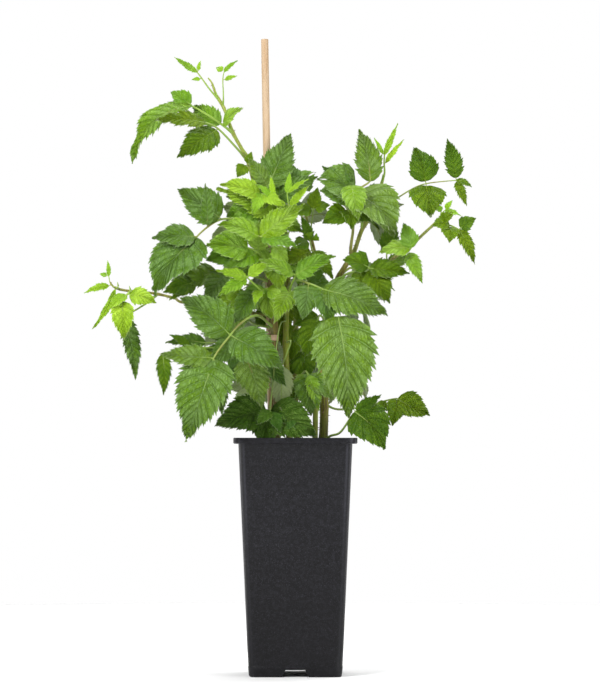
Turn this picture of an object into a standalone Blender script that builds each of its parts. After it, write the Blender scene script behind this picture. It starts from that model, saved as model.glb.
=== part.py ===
"""A young raspberry plant in a square deep container: pot, soil, stake, tie, canes, side shoots and leaves.

Every length in the tables is in millimetres, measured from the middle of the pot at ground level:
x to the right, y away from the front, z up. AXIS_X and AXIS_Y then shift the whole plant, so that
the middle of its outline stands over the origin.
"""

import math

import bmesh
import bpy
from mathutils import Matrix, Vector

MM = 0.001

# Where the pot's middle stands beside the middle of the whole plant's outline.
AXIS_X = 13.4
AXIS_Y = -5.0

# Pot: half widths and heights of a square container with rounded corners.
POT_HALF_FOOT = 41.3
POT_HALF_KNEE = 42.8
POT_KNEE_HEIGHT = 27.0
POT_HALF_NECK = 50.8
POT_HEIGHT = 212.4
POT_WALL = 1.2
POT_CORNER_FOOT = 7.0
POT_CORNER_NECK = 9.0
POT_CHAMFER = 1.2
POT_LEDGE_HEIGHT = 9.5
POT_LEDGE_STEP = 0.35
RIM_HALF = 55.0
RIM_DROP = 5.4
RIM_CHAMFER = 0.8
RIM_EASE = 0.5
RIM_CORNER = 11.0
CORNER_STEPS = 5

# Drainage: a raised cross in the floor that opens through a notch in each side.
NOTCH_HEIGHT = 6.5
NOTCH_HALF_TOP = 8.7
NOTCH_HALF_FOOT = 11.8
FLOOR = 1.4
DRAIN_RADIUS = 4.0
DRAIN_SPACING = 21.0

# Soil.
SOIL_TOP = 198.0
SOIL_GAP = 0.3
SOIL_EDGE = 1.5
SOCKET_GAP = 0.6
STAKE_DEPTH = 150.0

# Stake: a round stick that leans a little to the left.
STAKE_RADIUS = 3.3
STAKE_TOP = Vector((-27.6, 0.0, 570.6))
STAKE_AT_RIM = Vector((-21.3, 0.0, 212.4))
STAKE_SIDES = 16
STAKE_BEVEL = 0.5

# Tie: a soft band round the left cane and the stake.
TIE_HEIGHT = 302.0
TIE_WIDTH = 5.0
TIE_THICKNESS = 0.9
TIE_CLEARANCE = 0.35

# Leaves and stalks.
BLADE_THICKNESS = 0.7
BLADE_FULLNESS = 1.2
STALK_HALF_BASE = 1.1
STALK_HALF_END = 0.75
NODE_HALF_LENGTH = 1.6
LEAFLET_STEP = 1.2
LEAFLET_STEP_HALF = 0.5
STUB_LENGTH = 2.5
SEAT_GAP = 0.3
FOLD = 0.16
BROAD_LEAFLET = 13.0

# Canes and shoots: name, host or None, colour, then points of x, y, z and radius.
CANES = [
    (
        "cane_left",
        None,
        "bark",
        [
            (-16.0, -7.0, 176.0, 3.4),
            (-16.0, -7.0, 200.0, 3.3),
            (-17.5, -7.4, 260.0, 3.1),
            (-19.5, -7.6, 312.0, 2.9),
            (-23.0, -7.6, 360.0, 2.6),
            (-28.0, -7.4, 395.0, 2.3),
            (-34.5, -6.8, 428.0, 2.1),
            (-42.0, -5.0, 460.0, 1.9),
            (-49.0, -3.5, 473.0, 1.7),
            (-57.0, -3.0, 488.0, 1.6),
            (-64.0, -2.0, 508.0, 1.4),
            (-71.0, -1.5, 520.0, 1.2),
            (-75.0, -1.5, 531.0, 0.9),
            (-78.5, -2.0, 535.5, 0.6),
        ],
    ),
    (
        "cane_centre",
        None,
        "green",
        [
            (-5.0, 5.0, 176.0, 3.2),
            (-5.0, 5.0, 200.0, 3.1),
            (-8.5, 5.0, 290.0, 2.7),
            (-8.0, 4.0, 330.0, 2.5),
            (-6.5, 3.0, 370.0, 2.2),
            (-9.0, 1.0, 398.0, 1.9),
            (-14.0, -2.5, 418.0, 1.6),
            (-17.5, -4.5, 428.0, 1.2),
        ],
    ),
    (
        "cane_right",
        None,
        "bark",
        [
            (24.5, 2.0, 176.0, 4.2),
            (24.5, 2.0, 200.0, 4.1),
            (26.0, 1.0, 240.0, 3.8),
            (25.0, -1.0, 290.0, 3.3),
            (30.0, -2.0, 335.0, 2.8),
            (42.0, -2.0, 362.0, 2.4),
            (52.0, -1.5, 378.0, 2.0),
            (60.0, -0.5, 400.0, 1.8),
            (69.0, 1.0, 414.0, 1.6),
            (76.0, 2.0, 436.0, 1.3),
            (79.0, 2.0, 447.0, 1.0),
        ],
    ),
    (
        "cane_back",
        None,
        "bark",
        [
            (2.0, 24.0, 176.0, 3.3),
            (2.0, 24.0, 200.0, 3.2),
            (-1.5, 26.0, 285.0, 2.7),
            (3.0, 30.0, 340.0, 2.3),
            (8.0, 34.0, 382.0, 1.8),
            (9.0, 37.0, 408.0, 1.2),
        ],
    ),
    (
        "young_shoot",
        None,
        "green",
        [
            (17.5, -8.5, 176.0, 2.6),
            (17.5, -8.5, 200.0, 2.6),
            (18.0, -8.5, 236.0, 2.4),
            (18.5, -9.5, 250.0, 3.0),
            (19.0, -10.5, 260.0, 1.2),
        ],
    ),
    (
        "side_shoot_far_left",
        "cane_left",
        "green",
        [
            (-20.0, -7.6, 322.0, 1.9),
            (-45.0, -3.0, 325.0, 1.8),
            (-72.0, -4.0, 331.5, 1.7),
            (-102.0, -6.0, 334.0, 1.6),
            (-108.0, -6.0, 337.5, 1.6),
            (-128.0, -7.0, 342.0, 1.5),
            (-150.0, -8.0, 344.0, 1.4),
            (-162.0, -8.0, 347.0, 1.1),
            (-166.0, -8.0, 352.0, 0.8),
        ],
    ),
    (
        "side_shoot_far_right",
        "cane_right",
        "green",
        [
            (32.0, -2.0, 340.0, 1.9),
            (50.0, -7.0, 345.0, 1.8),
            (71.5, -11.0, 354.5, 1.7),
            (87.0, -13.0, 372.5, 1.6),
            (103.0, -14.0, 384.0, 1.5),
            (117.0, -14.0, 397.0, 1.3),
            (131.0, -14.0, 409.5, 1.0),
        ],
    ),
    (
        "side_shoot_top_right",
        "cane_right",
        "bark",
        [
            (50.0, -1.5, 374.0, 1.4),
            (49.5, -8.0, 382.0, 1.4),
            (52.0, -8.0, 404.0, 1.2),
            (51.0, -5.0, 434.0, 1.0),
        ],
    ),
    (
        "side_shoot_centre",
        "cane_right",
        "bark",
        [
            (27.5, -2.0, 325.0, 1.6),
            (21.0, -6.0, 345.0, 1.5),
            (17.6, -7.0, 377.0, 1.3),
            (12.0, -6.0, 400.0, 1.2),
            (8.0, -5.0, 421.0, 0.9),
        ],
    ),
]

# Leaves: name, host cane, tone, facing, stalk points, end leaflet, side leaflets.
# The end leaflet is (tip, width, bow); a side leaflet is (stalk point it leaves from, tip, width, bow).
# Widths are as seen from the front. The blades lean back, so they are wider than that by BLADE_FULLNESS.
LEAVES = [
    (
        "leaf_top_left",
        "cane_left",
        "fresh",
        (-0.25, -0.8, 0.5),
        [(-56, -3, 486), (-66, -9, 493), (-75, -11, 499), (-93, -13, 510)],
        ((-145, -20, 460), 22, 17),
        [(1, (-46, -24, 511), 12, 2), (1, (-94, 6, 512), 15, 1), (3, (-114.5, -8, 522), 10, 2)],
    ),
    (
        "leaf_top_left_lower",
        "cane_left",
        "dark",
        (-0.1, -0.85, 0.5),
        [(-43.6, -5, 462), (-54, -16, 473), (-68, -24, 486), (-80, -30, 493)],
        ((-124, -44, 488), 13, 3),
        [(2, (-104, -42, 466), 20, 4)],
    ),
    (
        "tip_leaf_left",
        "cane_left",
        "young",
        (-0.2, -0.85, 0.5),
        [(-69, -2, 516), (-77, -6, 525), (-84, -8, 534.6), (-88, -9, 540)],
        ((-108.5, -12, 554.5), 7, 1),
        [(3, (-85, -11, 550), 4, 0.5), (2, (-93, -11, 533), 4, 0.5)],
    ),
    (
        "tip_leaf_right",
        "cane_left",
        "young",
        (0.1, -0.85, 0.5),
        [(-65, -2, 510), (-64.5, -8, 519), (-65, -10, 533), (-64, -11, 540)],
        ((-51, -14, 551), 6, 1),
        [(2, (-52, -14, 536), 6, 0.5), (3, (-71, -8, 544), 7, 1)],
    ),
    (
        "small_leaf_top",
        "cane_left",
        "fresh",
        (0.2, -0.9, 0.35),
        [(-41, -5, 456), (-43, -14, 456), (-45, -17, 456)],
        ((-55, -20, 443), 9, 2),
        [(1, (-39, -18, 468), 8, 2)],
    ),
    (
        "leaf_broad_left",
        "cane_left",
        "mature",
        (-0.15, -0.9, 0.42),
        [(-32, -7, 418), (-46, -20, 409), (-66, -26, 407), (-78, -30, 400), (-88, -34, 391)],
        ((-127, -58, 339), 44, 7),
        [(2, (-103, -30, 441), 24, 4), (3, (-80, -48, 437), 11, 2)],
    ),
    (
        "leaf_middle_left",
        "cane_left",
        "fresh",
        (-0.1, -0.85, 0.5),
        [(-24, -7.6, 368), (-34, -20, 378), (-42, -24, 382)],
        ((-83, -30, 386), 22, 3),
        [(1, (-62, -36, 364), 18, 4), (1, (-32, -26, 406), 16, 3)],
    ),
    (
        "leaf_under_broad",
        "cane_left",
        "dark",
        (-0.1, -0.9, 0.4),
        [(-22.5, -7.6, 352), (-38, -12, 357), (-60, -13, 361), (-70, -14, 360)],
        ((-112, -18, 350), 15, 3),
        [(2, (-80, -34, 333), 16, 3)],
    ),
    (
        "leaf_top_centre",
        "cane_centre",
        "dark",
        (-0.1, -0.95, 0.3),
        [(-15, -3.5, 422), (-20, -13, 427), (-25, -15, 436)],
        ((-1.5, -8, 486), 27, 5),
        [(2, (-40, -26, 458), 13, 2), (1, (20, -20, 444), 19, 3), (1, (-62, -19, 428), 15, 2)],
    ),
    (
        "young_leaf_high_left",
        "cane_centre",
        "young",
        (0.0, -0.9, 0.4),
        [(-10.5, 0, 404), (-14, -16, 410), (-17, -24, 420), (-20, -26, 426)],
        ((-35.5, -28, 438.5), 6, 1),
        [(3, (-22, -30, 446), 4, 0.6), (2, (-8.5, -27, 420), 6, 0.8), (1, (-37, -32, 409), 11, 2)],
    ),
    (
        "young_leaf_high_right",
        "cane_centre",
        "young",
        (0.1, -0.9, 0.4),
        [(-8, 1.5, 392), (-5, -16, 400), (-6, -28, 418), (-7.5, -32, 430)],
        ((-5, -33, 449), 6, 0.8),
        [(3, (12, -40, 442), 5, 0.8), (2, (13, -34, 437), 7, 0.8)],
    ),
    (
        "leaf_bright_star",
        "cane_left",
        "fresh",
        (0.05, -0.85, 0.5),
        [(-25.5, -7.6, 379), (-21, -24, 384), (-31, -38, 391)],
        ((8, -44, 420), 25, 4),
        [(2, (-69, -44, 402), 22, 4), (2, (2, -54, 381), 17, 3), (1, (-6, -28, 366), 15, 3)],
    ),
    (
        "young_leaf_ribbed",
        "cane_left",
        "young",
        (-0.05, -0.85, 0.5),
        [(-21, -7.6, 336), (-31, -26, 344), (-43, -38, 355)],
        ((-71, -44, 361), 11, 2),
        [(2, (-69, -52, 337), 13, 3), (2, (-24, -34, 368), 11, 2), (1, (-36, -46, 330), 9, 2)],
    ),
    (
        "leaf_small_middle",
        "cane_left",
        "mature",
        (0.0, -0.9, 0.4),
        [(-20.4, -7.6, 328), (-28, -22, 336), (-38, -27, 343)],
        ((-54, -34, 317), 14, 3),
        [(1, (-24, -28, 319), 10, 2)],
    ),
    (
        "leaf_centre",
        "cane_centre",
        "fresh",
        (0.05, -0.85, 0.5),
        [(-8, 4, 330), (-5, -20, 344), (0, -36, 357)],
        ((35, -50, 374), 20, 4),
        [(2, (-32, -50, 370), 15, 3), (1, (-19, -56, 314), 18, 5), (1, (22, -42, 330), 16, 3)],
    ),
    (
        "leaf_centre_right",
        "cane_centre",
        "fresh",
        (0.15, -0.85, 0.5),
        [(-7.5, 3.5, 346), (0, -24, 353), (12, -44, 349), (24, -50, 344)],
        ((82, -58, 321), 24, 5),
        [(3, (30, -62, 313), 21, 4), (2, (7, -60, 322), 16, 4)],
    ),
    (
        "leaf_big_right",
        "cane_right",
        "mature",
        (0.1, -0.93, 0.36),
        [(25.5, -1.5, 297), (31, -26, 304), (35, -50, 314), (36.5, -60, 317)],
        ((47, -84, 230), 52, 8),
        [(1, (72, -30, 291), 16, 3), (2, (15, -46, 300), 14, 3)],
    ),
    (
        "leaf_high_right",
        "side_shoot_top_right",
        "mature",
        (0.15, -0.9, 0.42),
        [(51.2, -5.5, 428), (54, -16, 433), (64, -18, 441)],
        ((60, -14, 489), 22, 3),
        [(2, (20, -24, 449), 30, 4), (1, (86, -46, 398), 34, 6)],
    ),
    (
        "leaf_high_right_lower",
        "side_shoot_top_right",
        "olive",
        (0.05, -0.9, 0.42),
        [(51.8, -7, 414), (46, -18, 416), (47, -27, 415)],
        ((53, -50, 396), 20, 4),
        [(2, (35, -36, 395), 22, 4), (2, (67, -26, 405), 16, 3)],
    ),
    (
        "small_leaf_centre",
        "side_shoot_centre",
        "olive",
        (0.1, -0.9, 0.4),
        [(13, -6.3, 395), (15, -14, 408), (16, -17, 417)],
        ((20, -20, 436), 11, 2),
        [(2, (31, -20, 420), 12, 2), (2, (0, -18, 412), 12, 2)],
    ),
    (
        "young_leaf_top_right",
        "cane_right",
        "young",
        (0.0, -0.9, 0.4),
        [(77.8, 2, 442), (80, -6, 450), (79.5, -8, 458), (79.7, -9, 466)],
        ((93, -12, 492), 7, 3),
        [(3, (70.5, -12, 481), 7, 1), (2, (98, -12, 477), 6, 1)],
    ),
    (
        "leaf_far_right",
        "cane_right",
        "fresh",
        (0.15, -0.88, 0.45),
        [(70.5, 1, 419), (84, -5, 423), (103, -8, 434.5), (120, -10, 440), (144, -12, 443)],
        ((158, -14, 437), 7, 1),
        [
            (3, (109.5, -8, 473.5), 24, 4),
            (3, (124, -32, 413), 30, 5),
            (4, (136, -10, 480.5), 15, 3),
            (4, (153, -20, 419), 8, 2),
        ],
    ),
    (
        "leaf_right_tip",
        "side_shoot_far_right",
        "young",
        (0.15, -0.88, 0.45),
        [(124, -14, 403), (130, -20, 402), (137, -23, 402), (146, -24, 398)],
        ((160, -26, 367), 9, 3),
        [(3, (160, -25, 405), 10, 2), (2, (137, -30, 386), 17, 4)],
    ),
    (
        "young_leaf_right_tip",
        "side_shoot_far_right",
        "young",
        (0.0, -0.88, 0.45),
        [(129.5, -14, 408), (131, -18, 413), (134, -19, 416)],
        ((147, -33, 410), 6, 1),
        [(2, (140, -24, 424), 5, 1), (1, (126, -19, 421), 6, 1)],
    ),
    (
        "leaf_right_middle",
        "side_shoot_far_right",
        "olive",
        (0.05, -0.88, 0.45),
        [(98, -14, 380.5), (101, -21, 379), (103.5, -25, 381.5)],
        ((96, -26, 404), 13, 2),
        [(2, (72, -30, 377), 15, 3), (1, (109, -34, 352), 12, 3)],
    ),
    (
        "leaf_right_dark",
        "cane_right",
        "dark",
        (0.1, -0.88, 0.45),
        [(36, -2, 349), (44, -14, 358), (58, -19, 362), (66, -20, 364)],
        ((102, -24, 364), 13, 3),
        [(3, (84, -30, 339), 18, 3), (2, (40, -20, 379), 16, 3), (2, (60, -30, 338), 16, 3)],
    ),
    (
        "leaf_right_behind",
        "side_shoot_far_right",
        "dark",
        (0.05, -0.9, 0.4),
        [(82, -12.5, 366), (82, -2, 368), (82, 6, 380)],
        ((89, 14, 408), 16, 3),
        [(1, (104, 12, 376), 14, 3), (1, (60, 14, 360), 18, 3)],
    ),
    (
        "leaf_centre_dark",
        "side_shoot_centre",
        "dark",
        (0.0, -0.9, 0.4),
        [(17.7, -7, 374), (15, -18, 380), (13, -22, 388)],
        ((5, -26, 410), 10, 2),
        [
            (2, (-2, -28, 381), 14, 2),
            (2, (27, -26, 398), 13, 2),
            (1, (34, -26, 360), 15, 3),
            (1, (-14, -24, 364), 16, 3),
        ],
    ),
    (
        "leaf_low_right",
        "cane_right",
        "fresh",
        (0.25, -0.88, 0.4),
        [(24.8, 1.8, 208), (31, -9, 214), (40, -15, 217), (49, -18, 230), (53, -19, 236)],
        ((80, -26, 204), 29, 6),
        [(4, (77, -14, 247), 8, 1), (3, (41, -24, 249), 9, 2)],
    ),
    (
        "leaf_low_right_dark",
        "cane_right",
        "dark",
        (0.15, -0.88, 0.45),
        [(26, 1, 243), (38, 8, 238), (60, 10, 240), (82, 6, 246), (92, 4, 248)],
        ((121, -2, 240), 20, 3),
        [(4, (91, -4, 224), 15, 3), (3, (72, 2, 236), 9, 1)],
    ),
    (
        "leaf_low_centre",
        "cane_left",
        "dark",
        (0.0, -0.92, 0.4),
        [(-18, -7.5, 281), (-19, -18, 272), (-21.5, -27, 248), (-24, -30, 237)],
        ((-26, -43, 203), 32, 4),
        [(3, (-72, -40, 226), 26, 5), (2, (20, -42, 217), 26, 5)],
    ),
    (
        "leaf_low_left",
        "cane_left",
        "mature",
        (-0.1, -0.9, 0.42),
        [
            (-19.6, -7.6, 311),
            (-34, -36, 321),
            (-49, -52, 313),
            (-57, -60, 303),
            (-67, -66, 290),
            (-72, -69, 282),
        ],
        ((-99, -92, 209), 36, 8),
        [
            (3, (-102, -62, 336), 30, 5),
            (3, (-10, -76, 274), 30, 6),
            (5, (-121, -72, 285), 17, 3),
            (5, (-64, -82, 232), 20, 4),
        ],
    ),
    (
        "leaf_low_middle",
        "cane_left",
        "dark",
        (0.05, -0.92, 0.4),
        [(-18.4, -7.5, 291), (-32, -24, 290), (-44, -34, 284)],
        ((-29, -52, 238), 26, 5),
        [(1, (-8, -36, 258), 18, 3), (1, (-62, -30, 262), 18, 3)],
    ),
    (
        "leaf_low_underside",
        "cane_centre",
        "olive",
        (0.1, 0.9, 0.3),
        [(-8.5, 5, 298), (-4, -14, 298), (-10, -26, 284)],
        ((-6.5, -34, 246), 16, 3),
        [],
    ),
    (
        "leaf_behind_left",
        "cane_left",
        "olive",
        (-0.1, -0.9, 0.42),
        [(-18.2, -7.5, 289), (-40, -16, 296), (-66, -22, 293), (-84, -26, 292)],
        ((-112, -32, 304), 12, 2),
        [(3, (-114, -36, 254), 10, 3), (2, (-98, -34, 259), 13, 3)],
    ),
    (
        "leaf_far_left",
        "side_shoot_far_left",
        "young",
        (-0.05, -0.88, 0.47),
        [(-147, -8, 343.7), (-149, -15, 340), (-152, -18, 332)],
        ((-153, -24, 300), 16, 3),
        [(1, (-125, -18, 333), 14, 3), (2, (-167, -20, 326), 9, 1)],
    ),
    (
        "leaf_far_left_hanging",
        "side_shoot_far_left",
        "olive",
        (0.5, 0.75, 0.4),
        [(-124, -7, 341), (-130, -1, 336), (-139, 1, 330), (-146, 1, 320)],
        ((-142, -2, 266), 13, 3),
        [],
    ),
    (
        "young_leaf_left_tip",
        "side_shoot_far_left",
        "young",
        (-0.1, -0.88, 0.47),
        [(-158, -8, 346), (-160, -14, 347), (-165, -15, 349), (-167, -15, 357)],
        ((-168, -14, 371), 4, 0.5),
        [(3, (-175, -14, 359), 5, 0.5), (2, (-189, -16, 342), 7, 1), (1, (-182, -18, 309), 6, -5)],
    ),
    (
        "back_leaf_top",
        "cane_back",
        "dark",
        (0.0, 0.8, 0.6),
        [(9, 36.5, 404), (6, 48, 414), (2, 58, 424)],
        ((-6, 96, 424), 32, 6),
        [(2, (-36, 68, 420), 26, 5), (2, (34, 86, 414), 24, 5), (1, (36, 50, 414), 22, 4)],
    ),
    (
        "back_leaf_upper_left",
        "cane_left",
        "mature",
        (-0.3, 0.75, 0.6),
        [(-29.5, -7.2, 403), (-38, 10, 408), (-46, 30, 404)],
        ((-64, 70, 376), 32, 6),
        [(2, (-84, 26, 396), 26, 5), (1, (-16, 46, 392), 24, 5), (1, (-66, -2, 420), 22, 4)],
    ),
    (
        "back_leaf_upper_right",
        "cane_right",
        "dark",
        (0.35, 0.75, 0.55),
        [(62, 0, 404), (66, 14, 412), (66, 26, 414)],
        ((80, 66, 398), 28, 6),
        [(2, (48, 58, 410), 22, 5), (1, (98, 20, 420), 22, 4), (1, (40, 16, 424), 22, 4)],
    ),
    (
        "back_leaf_middle",
        "cane_back",
        "mature",
        (0.0, 0.85, 0.5),
        [(4.5, 31, 352), (-2, 46, 360), (-6, 58, 358)],
        ((-12, 104, 326), 36, 7),
        [(2, (-48, 74, 350), 28, 5), (1, (30, 74, 354), 26, 5), (1, (-38, 44, 366), 22, 4)],
    ),
    (
        "back_leaf_middle_right",
        "cane_right",
        "fresh",
        (0.4, 0.75, 0.5),
        [(40, -2, 358), (50, 16, 366), (58, 30, 362)],
        ((82, 66, 338), 32, 6),
        [(2, (50, 74, 328), 26, 5), (1, (92, 26, 358), 24, 5)],
    ),
    (
        "back_leaf_middle_left",
        "cane_left",
        "olive",
        (-0.4, 0.75, 0.5),
        [(-18.7, -7.5, 311), (-36, -3, 314), (-44, 16, 320), (-52, 30, 318)],
        ((-84, 62, 296), 34, 6),
        [(3, (-34, 72, 304), 28, 5), (2, (-86, 18, 316), 26, 5)],
    ),
    (
        "back_leaf_lower",
        "cane_back",
        "dark",
        (0.1, 0.85, 0.5),
        [(-0.5, 27, 300), (4, 44, 308), (8, 56, 304)],
        ((24, 98, 262), 36, 7),
        [(2, (-24, 82, 276), 28, 5), (1, (42, 56, 296), 24, 5), (1, (-30, 44, 302), 22, 4)],
    ),
    (
        "back_leaf_lower_left",
        "cane_back",
        "mature",
        (-0.3, 0.8, 0.5),
        [(-0.5, 25, 258), (-14, 38, 268), (-26, 48, 264)],
        ((-56, 78, 228), 32, 6),
        [(2, (-62, 42, 256), 24, 5), (1, (-8, 84, 240), 26, 5)],
    ),
    (
        "back_leaf_lower_right",
        "cane_right",
        "mature",
        (0.4, 0.8, 0.45),
        [(25, -0.5, 276), (38, 14, 286), (50, 28, 282)],
        ((62, 66, 252), 30, 6),
        [(2, (31, 74, 244), 26, 5), (1, (68, 20, 290), 20, 5)],
    ),
]

# Leaf colours by age: the pale young ones, the full green ones, and the shaded dark ones.
LEAF_COLOURS = {
    "young": (0.30, 0.52, 0.05),
    "fresh": (0.21, 0.42, 0.04),
    "mature": (0.12, 0.28, 0.06),
    "olive": (0.12, 0.21, 0.03),
    "dark": (0.05, 0.12, 0.02),
}
CANE_COLOURS = {"bark": (0.22, 0.13, 0.06), "green": (0.24, 0.32, 0.07)}

# Share of a leaflet's length, and its half width there as a share of the widest.
BROAD_OUTLINE = [(0.09, 0.12), (0.2, 0.64), (0.38, 1.0), (0.6, 0.86), (0.83, 0.44), (1.0, 0.04)]
NARROW_OUTLINE = [(0.18, 0.6), (0.42, 1.0), (0.72, 0.66), (1.0, 0.08)]


def clear_scene():
    """Start from an empty file."""
    for thing in list(bpy.data.objects):
        bpy.data.objects.remove(thing, do_unlink=True)


def placed(point):
    """A table point in metres, with the pot's middle moved to its place."""
    return Vector((point[0] + AXIS_X, point[1] + AXIS_Y, point[2])) * MM


def finish_object(name, data, colour, roughness):
    """Link a mesh or curve as one object with its own plain Principled material."""
    material = bpy.data.materials.new(name)
    material.use_nodes = True
    shader = material.node_tree.nodes["Principled BSDF"]
    shader.inputs["Base Color"].default_value = (*colour, 1.0)
    shader.inputs["Roughness"].default_value = roughness
    data.materials.append(material)
    thing = bpy.data.objects.new(name, data)
    bpy.context.scene.collection.objects.link(thing)
    return thing


def mesh_object(name, bm, colour, roughness):
    """Turn a bmesh in table millimetres into one smooth-shaded object."""
    for vert in bm.verts:
        vert.co = placed(vert.co)
    bmesh.ops.recalc_face_normals(bm, faces=bm.faces)
    mesh = bpy.data.meshes.new(name)
    bm.to_mesh(mesh)
    bm.free()
    mesh.shade_smooth()
    mesh.set_sharp_from_angle(angle=math.radians(35))
    return finish_object(name, mesh, colour, roughness)


def cut_with(thing, cutters):
    """Take every cutter away from a body."""
    for cutter in cutters:
        cutter.display_type = "WIRE"
        cutter.hide_render = True
        step = thing.modifiers.new("cut", "BOOLEAN")
        step.operation = "DIFFERENCE"
        step.solver = "EXACT"
        step.object = cutter


def rounded_square(half, corner, height):
    """Points round a square with rounded corners, counter-clockwise from above."""
    points = []
    for quarter in range(4):
        diagonal = math.radians(90 * quarter + 45)
        centre_x = math.copysign(half - corner, math.cos(diagonal))
        centre_y = math.copysign(half - corner, math.sin(diagonal))
        for step in range(CORNER_STEPS + 1):
            angle = math.radians(90 * quarter + 90 * step / CORNER_STEPS)
            x = centre_x + corner * math.cos(angle)
            y = centre_y + corner * math.sin(angle)
            points.append(Vector((x, y, height)))
    return points


def loft(rings):
    """A closed body through rings of points, bridged one to the next and capped at both ends."""
    bm = bmesh.new()
    loops = []
    for ring in rings:
        verts = [bm.verts.new(point) for point in ring]
        pairs = zip(verts, verts[1:] + verts[:1])
        loops.append((verts, [bm.edges.new(pair) for pair in pairs]))
    for below, above in zip(loops, loops[1:]):
        bmesh.ops.bridge_loops(bm, edges=below[1] + above[1])
    bm.faces.new(list(reversed(loops[0][0])))
    bm.faces.new(loops[-1][0])
    return bm


def wall_half(height):
    """Half width of the pot's outside at a height."""
    if height <= POT_KNEE_HEIGHT:
        share = height / POT_KNEE_HEIGHT
        return POT_HALF_FOOT + (POT_HALF_KNEE - POT_HALF_FOOT) * share
    share = (height - POT_KNEE_HEIGHT) / (POT_HEIGHT - POT_KNEE_HEIGHT)
    return POT_HALF_KNEE + (POT_HALF_NECK - POT_HALF_KNEE) * share


def wall_corner(height):
    """Corner radius of the pot's outside at a height."""
    return POT_CORNER_FOOT + (POT_CORNER_NECK - POT_CORNER_FOOT) * height / POT_HEIGHT


def wall_ring(height, inset=0.0):
    """The wall's outline at a height, moved inward by an inset."""
    return rounded_square(wall_half(height) - inset, wall_corner(height) - inset, height)


def beam(name, half_top, half_foot, top, along_x):
    """A long ridge across the floor, with sloping sides: the shape of the drainage cross."""
    slope = (half_foot - half_top) / top
    profile = [
        (-half_foot - 5 * slope, -5),
        (half_foot + 5 * slope, -5),
        (half_top, top),
        (-half_top, top),
    ]
    rings = []
    for end in (-80, 80):
        if along_x:
            rings.append([Vector((end, across, height)) for across, height in profile])
        else:
            rings.append([Vector((-across, end, height)) for across, height in profile])
    return mesh_object(name, loft(rings), (0, 0, 0), 1)


def upright_cutter(name, x, y, low, high, radius):
    """An upright cylinder that cuts a round hole."""
    bm = bmesh.new()
    middle = Matrix.Translation((x, y, (low + high) / 2))
    bmesh.ops.create_cone(
        bm,
        cap_ends=True,
        segments=12,
        radius1=radius,
        radius2=radius,
        depth=high - low,
        matrix=middle,
    )
    return mesh_object(name, bm, (0, 0, 0), 1)


def make_pot():
    """The pot: outside and rim, less its cavity, with a raised cross, notches and drain holes."""
    under_rim = POT_HEIGHT - RIM_DROP
    ledge_foot = POT_LEDGE_HEIGHT - POT_LEDGE_STEP
    neck = POT_HEIGHT - POT_WALL
    lip = RIM_HALF - POT_WALL
    rings = [
        rounded_square(POT_HALF_FOOT - POT_CHAMFER, POT_CORNER_FOOT - POT_CHAMFER, 0),
        wall_ring(POT_CHAMFER),
        wall_ring(ledge_foot, -POT_LEDGE_STEP),
        wall_ring(POT_LEDGE_HEIGHT),
        wall_ring(POT_KNEE_HEIGHT),
        wall_ring(neck),
        rounded_square(lip, RIM_CORNER - POT_WALL, neck),
        rounded_square(lip, RIM_CORNER - POT_WALL, under_rim),
        rounded_square(RIM_HALF - RIM_CHAMFER, RIM_CORNER - RIM_CHAMFER, under_rim),
        rounded_square(RIM_HALF, RIM_CORNER, under_rim + RIM_CHAMFER),
        rounded_square(RIM_HALF, RIM_CORNER, POT_HEIGHT - RIM_EASE),
        rounded_square(RIM_HALF - RIM_EASE, RIM_CORNER - RIM_EASE, POT_HEIGHT),
    ]
    pot = mesh_object("pot", loft(rings), (0.025, 0.026, 0.03), 0.55)

    # The cavity keeps the taper one wall inside, and two ridges are left standing in it.
    cavity_rings = [wall_ring(height, POT_WALL) for height in (FLOOR, POT_KNEE_HEIGHT, POT_HEIGHT)]
    cavity_rings.append([point + Vector((0, 0, 5)) for point in cavity_rings[-1]])
    cavity = mesh_object("cavity", loft(cavity_rings), (0, 0, 0), 1)
    ridge = NOTCH_HALF_TOP + FLOOR, NOTCH_HALF_FOOT + FLOOR, NOTCH_HEIGHT + FLOOR
    cut_with(cavity, [beam("ridge_x", *ridge, True), beam("ridge_y", *ridge, False)])

    notch = NOTCH_HALF_TOP, NOTCH_HALF_FOOT, NOTCH_HEIGHT
    cutters = [cavity, beam("notch_x", *notch, True), beam("notch_y", *notch, False)]
    for number, (across, deep) in enumerate([(0, 0), (1, 0), (-1, 0), (0, 1), (0, -1)]):
        x = across * DRAIN_SPACING
        y = deep * DRAIN_SPACING
        cutters.append(upright_cutter("drain_" + str(number), x, y, 2, 20, DRAIN_RADIUS))
    cut_with(pot, cutters)


def nearest_on(spine, place):
    """Nearest point of a cane's middle line to a place, with its direction and radius there."""
    best = None
    for (start, start_radius), (end, end_radius) in zip(spine, spine[1:]):
        run = end - start
        share = max(0.0, min(1.0, (place - start).dot(run) / run.length_squared))
        point = start + run * share
        gap = (place - point).length
        if best is None or gap < best[0]:
            best = (gap, point, run.normalized(), start_radius + (end_radius - start_radius) * share)
    return best[1:]


def seat_on(spine, place, onward):
    """Start point and end of the short stub by which something grows out of a cane."""
    point, along, radius = nearest_on(spine, place)
    out = onward - point
    out = (out - along * out.dot(along)).normalized()
    start = point + out * (radius + SEAT_GAP)
    return start, start + out * STUB_LENGTH


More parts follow.
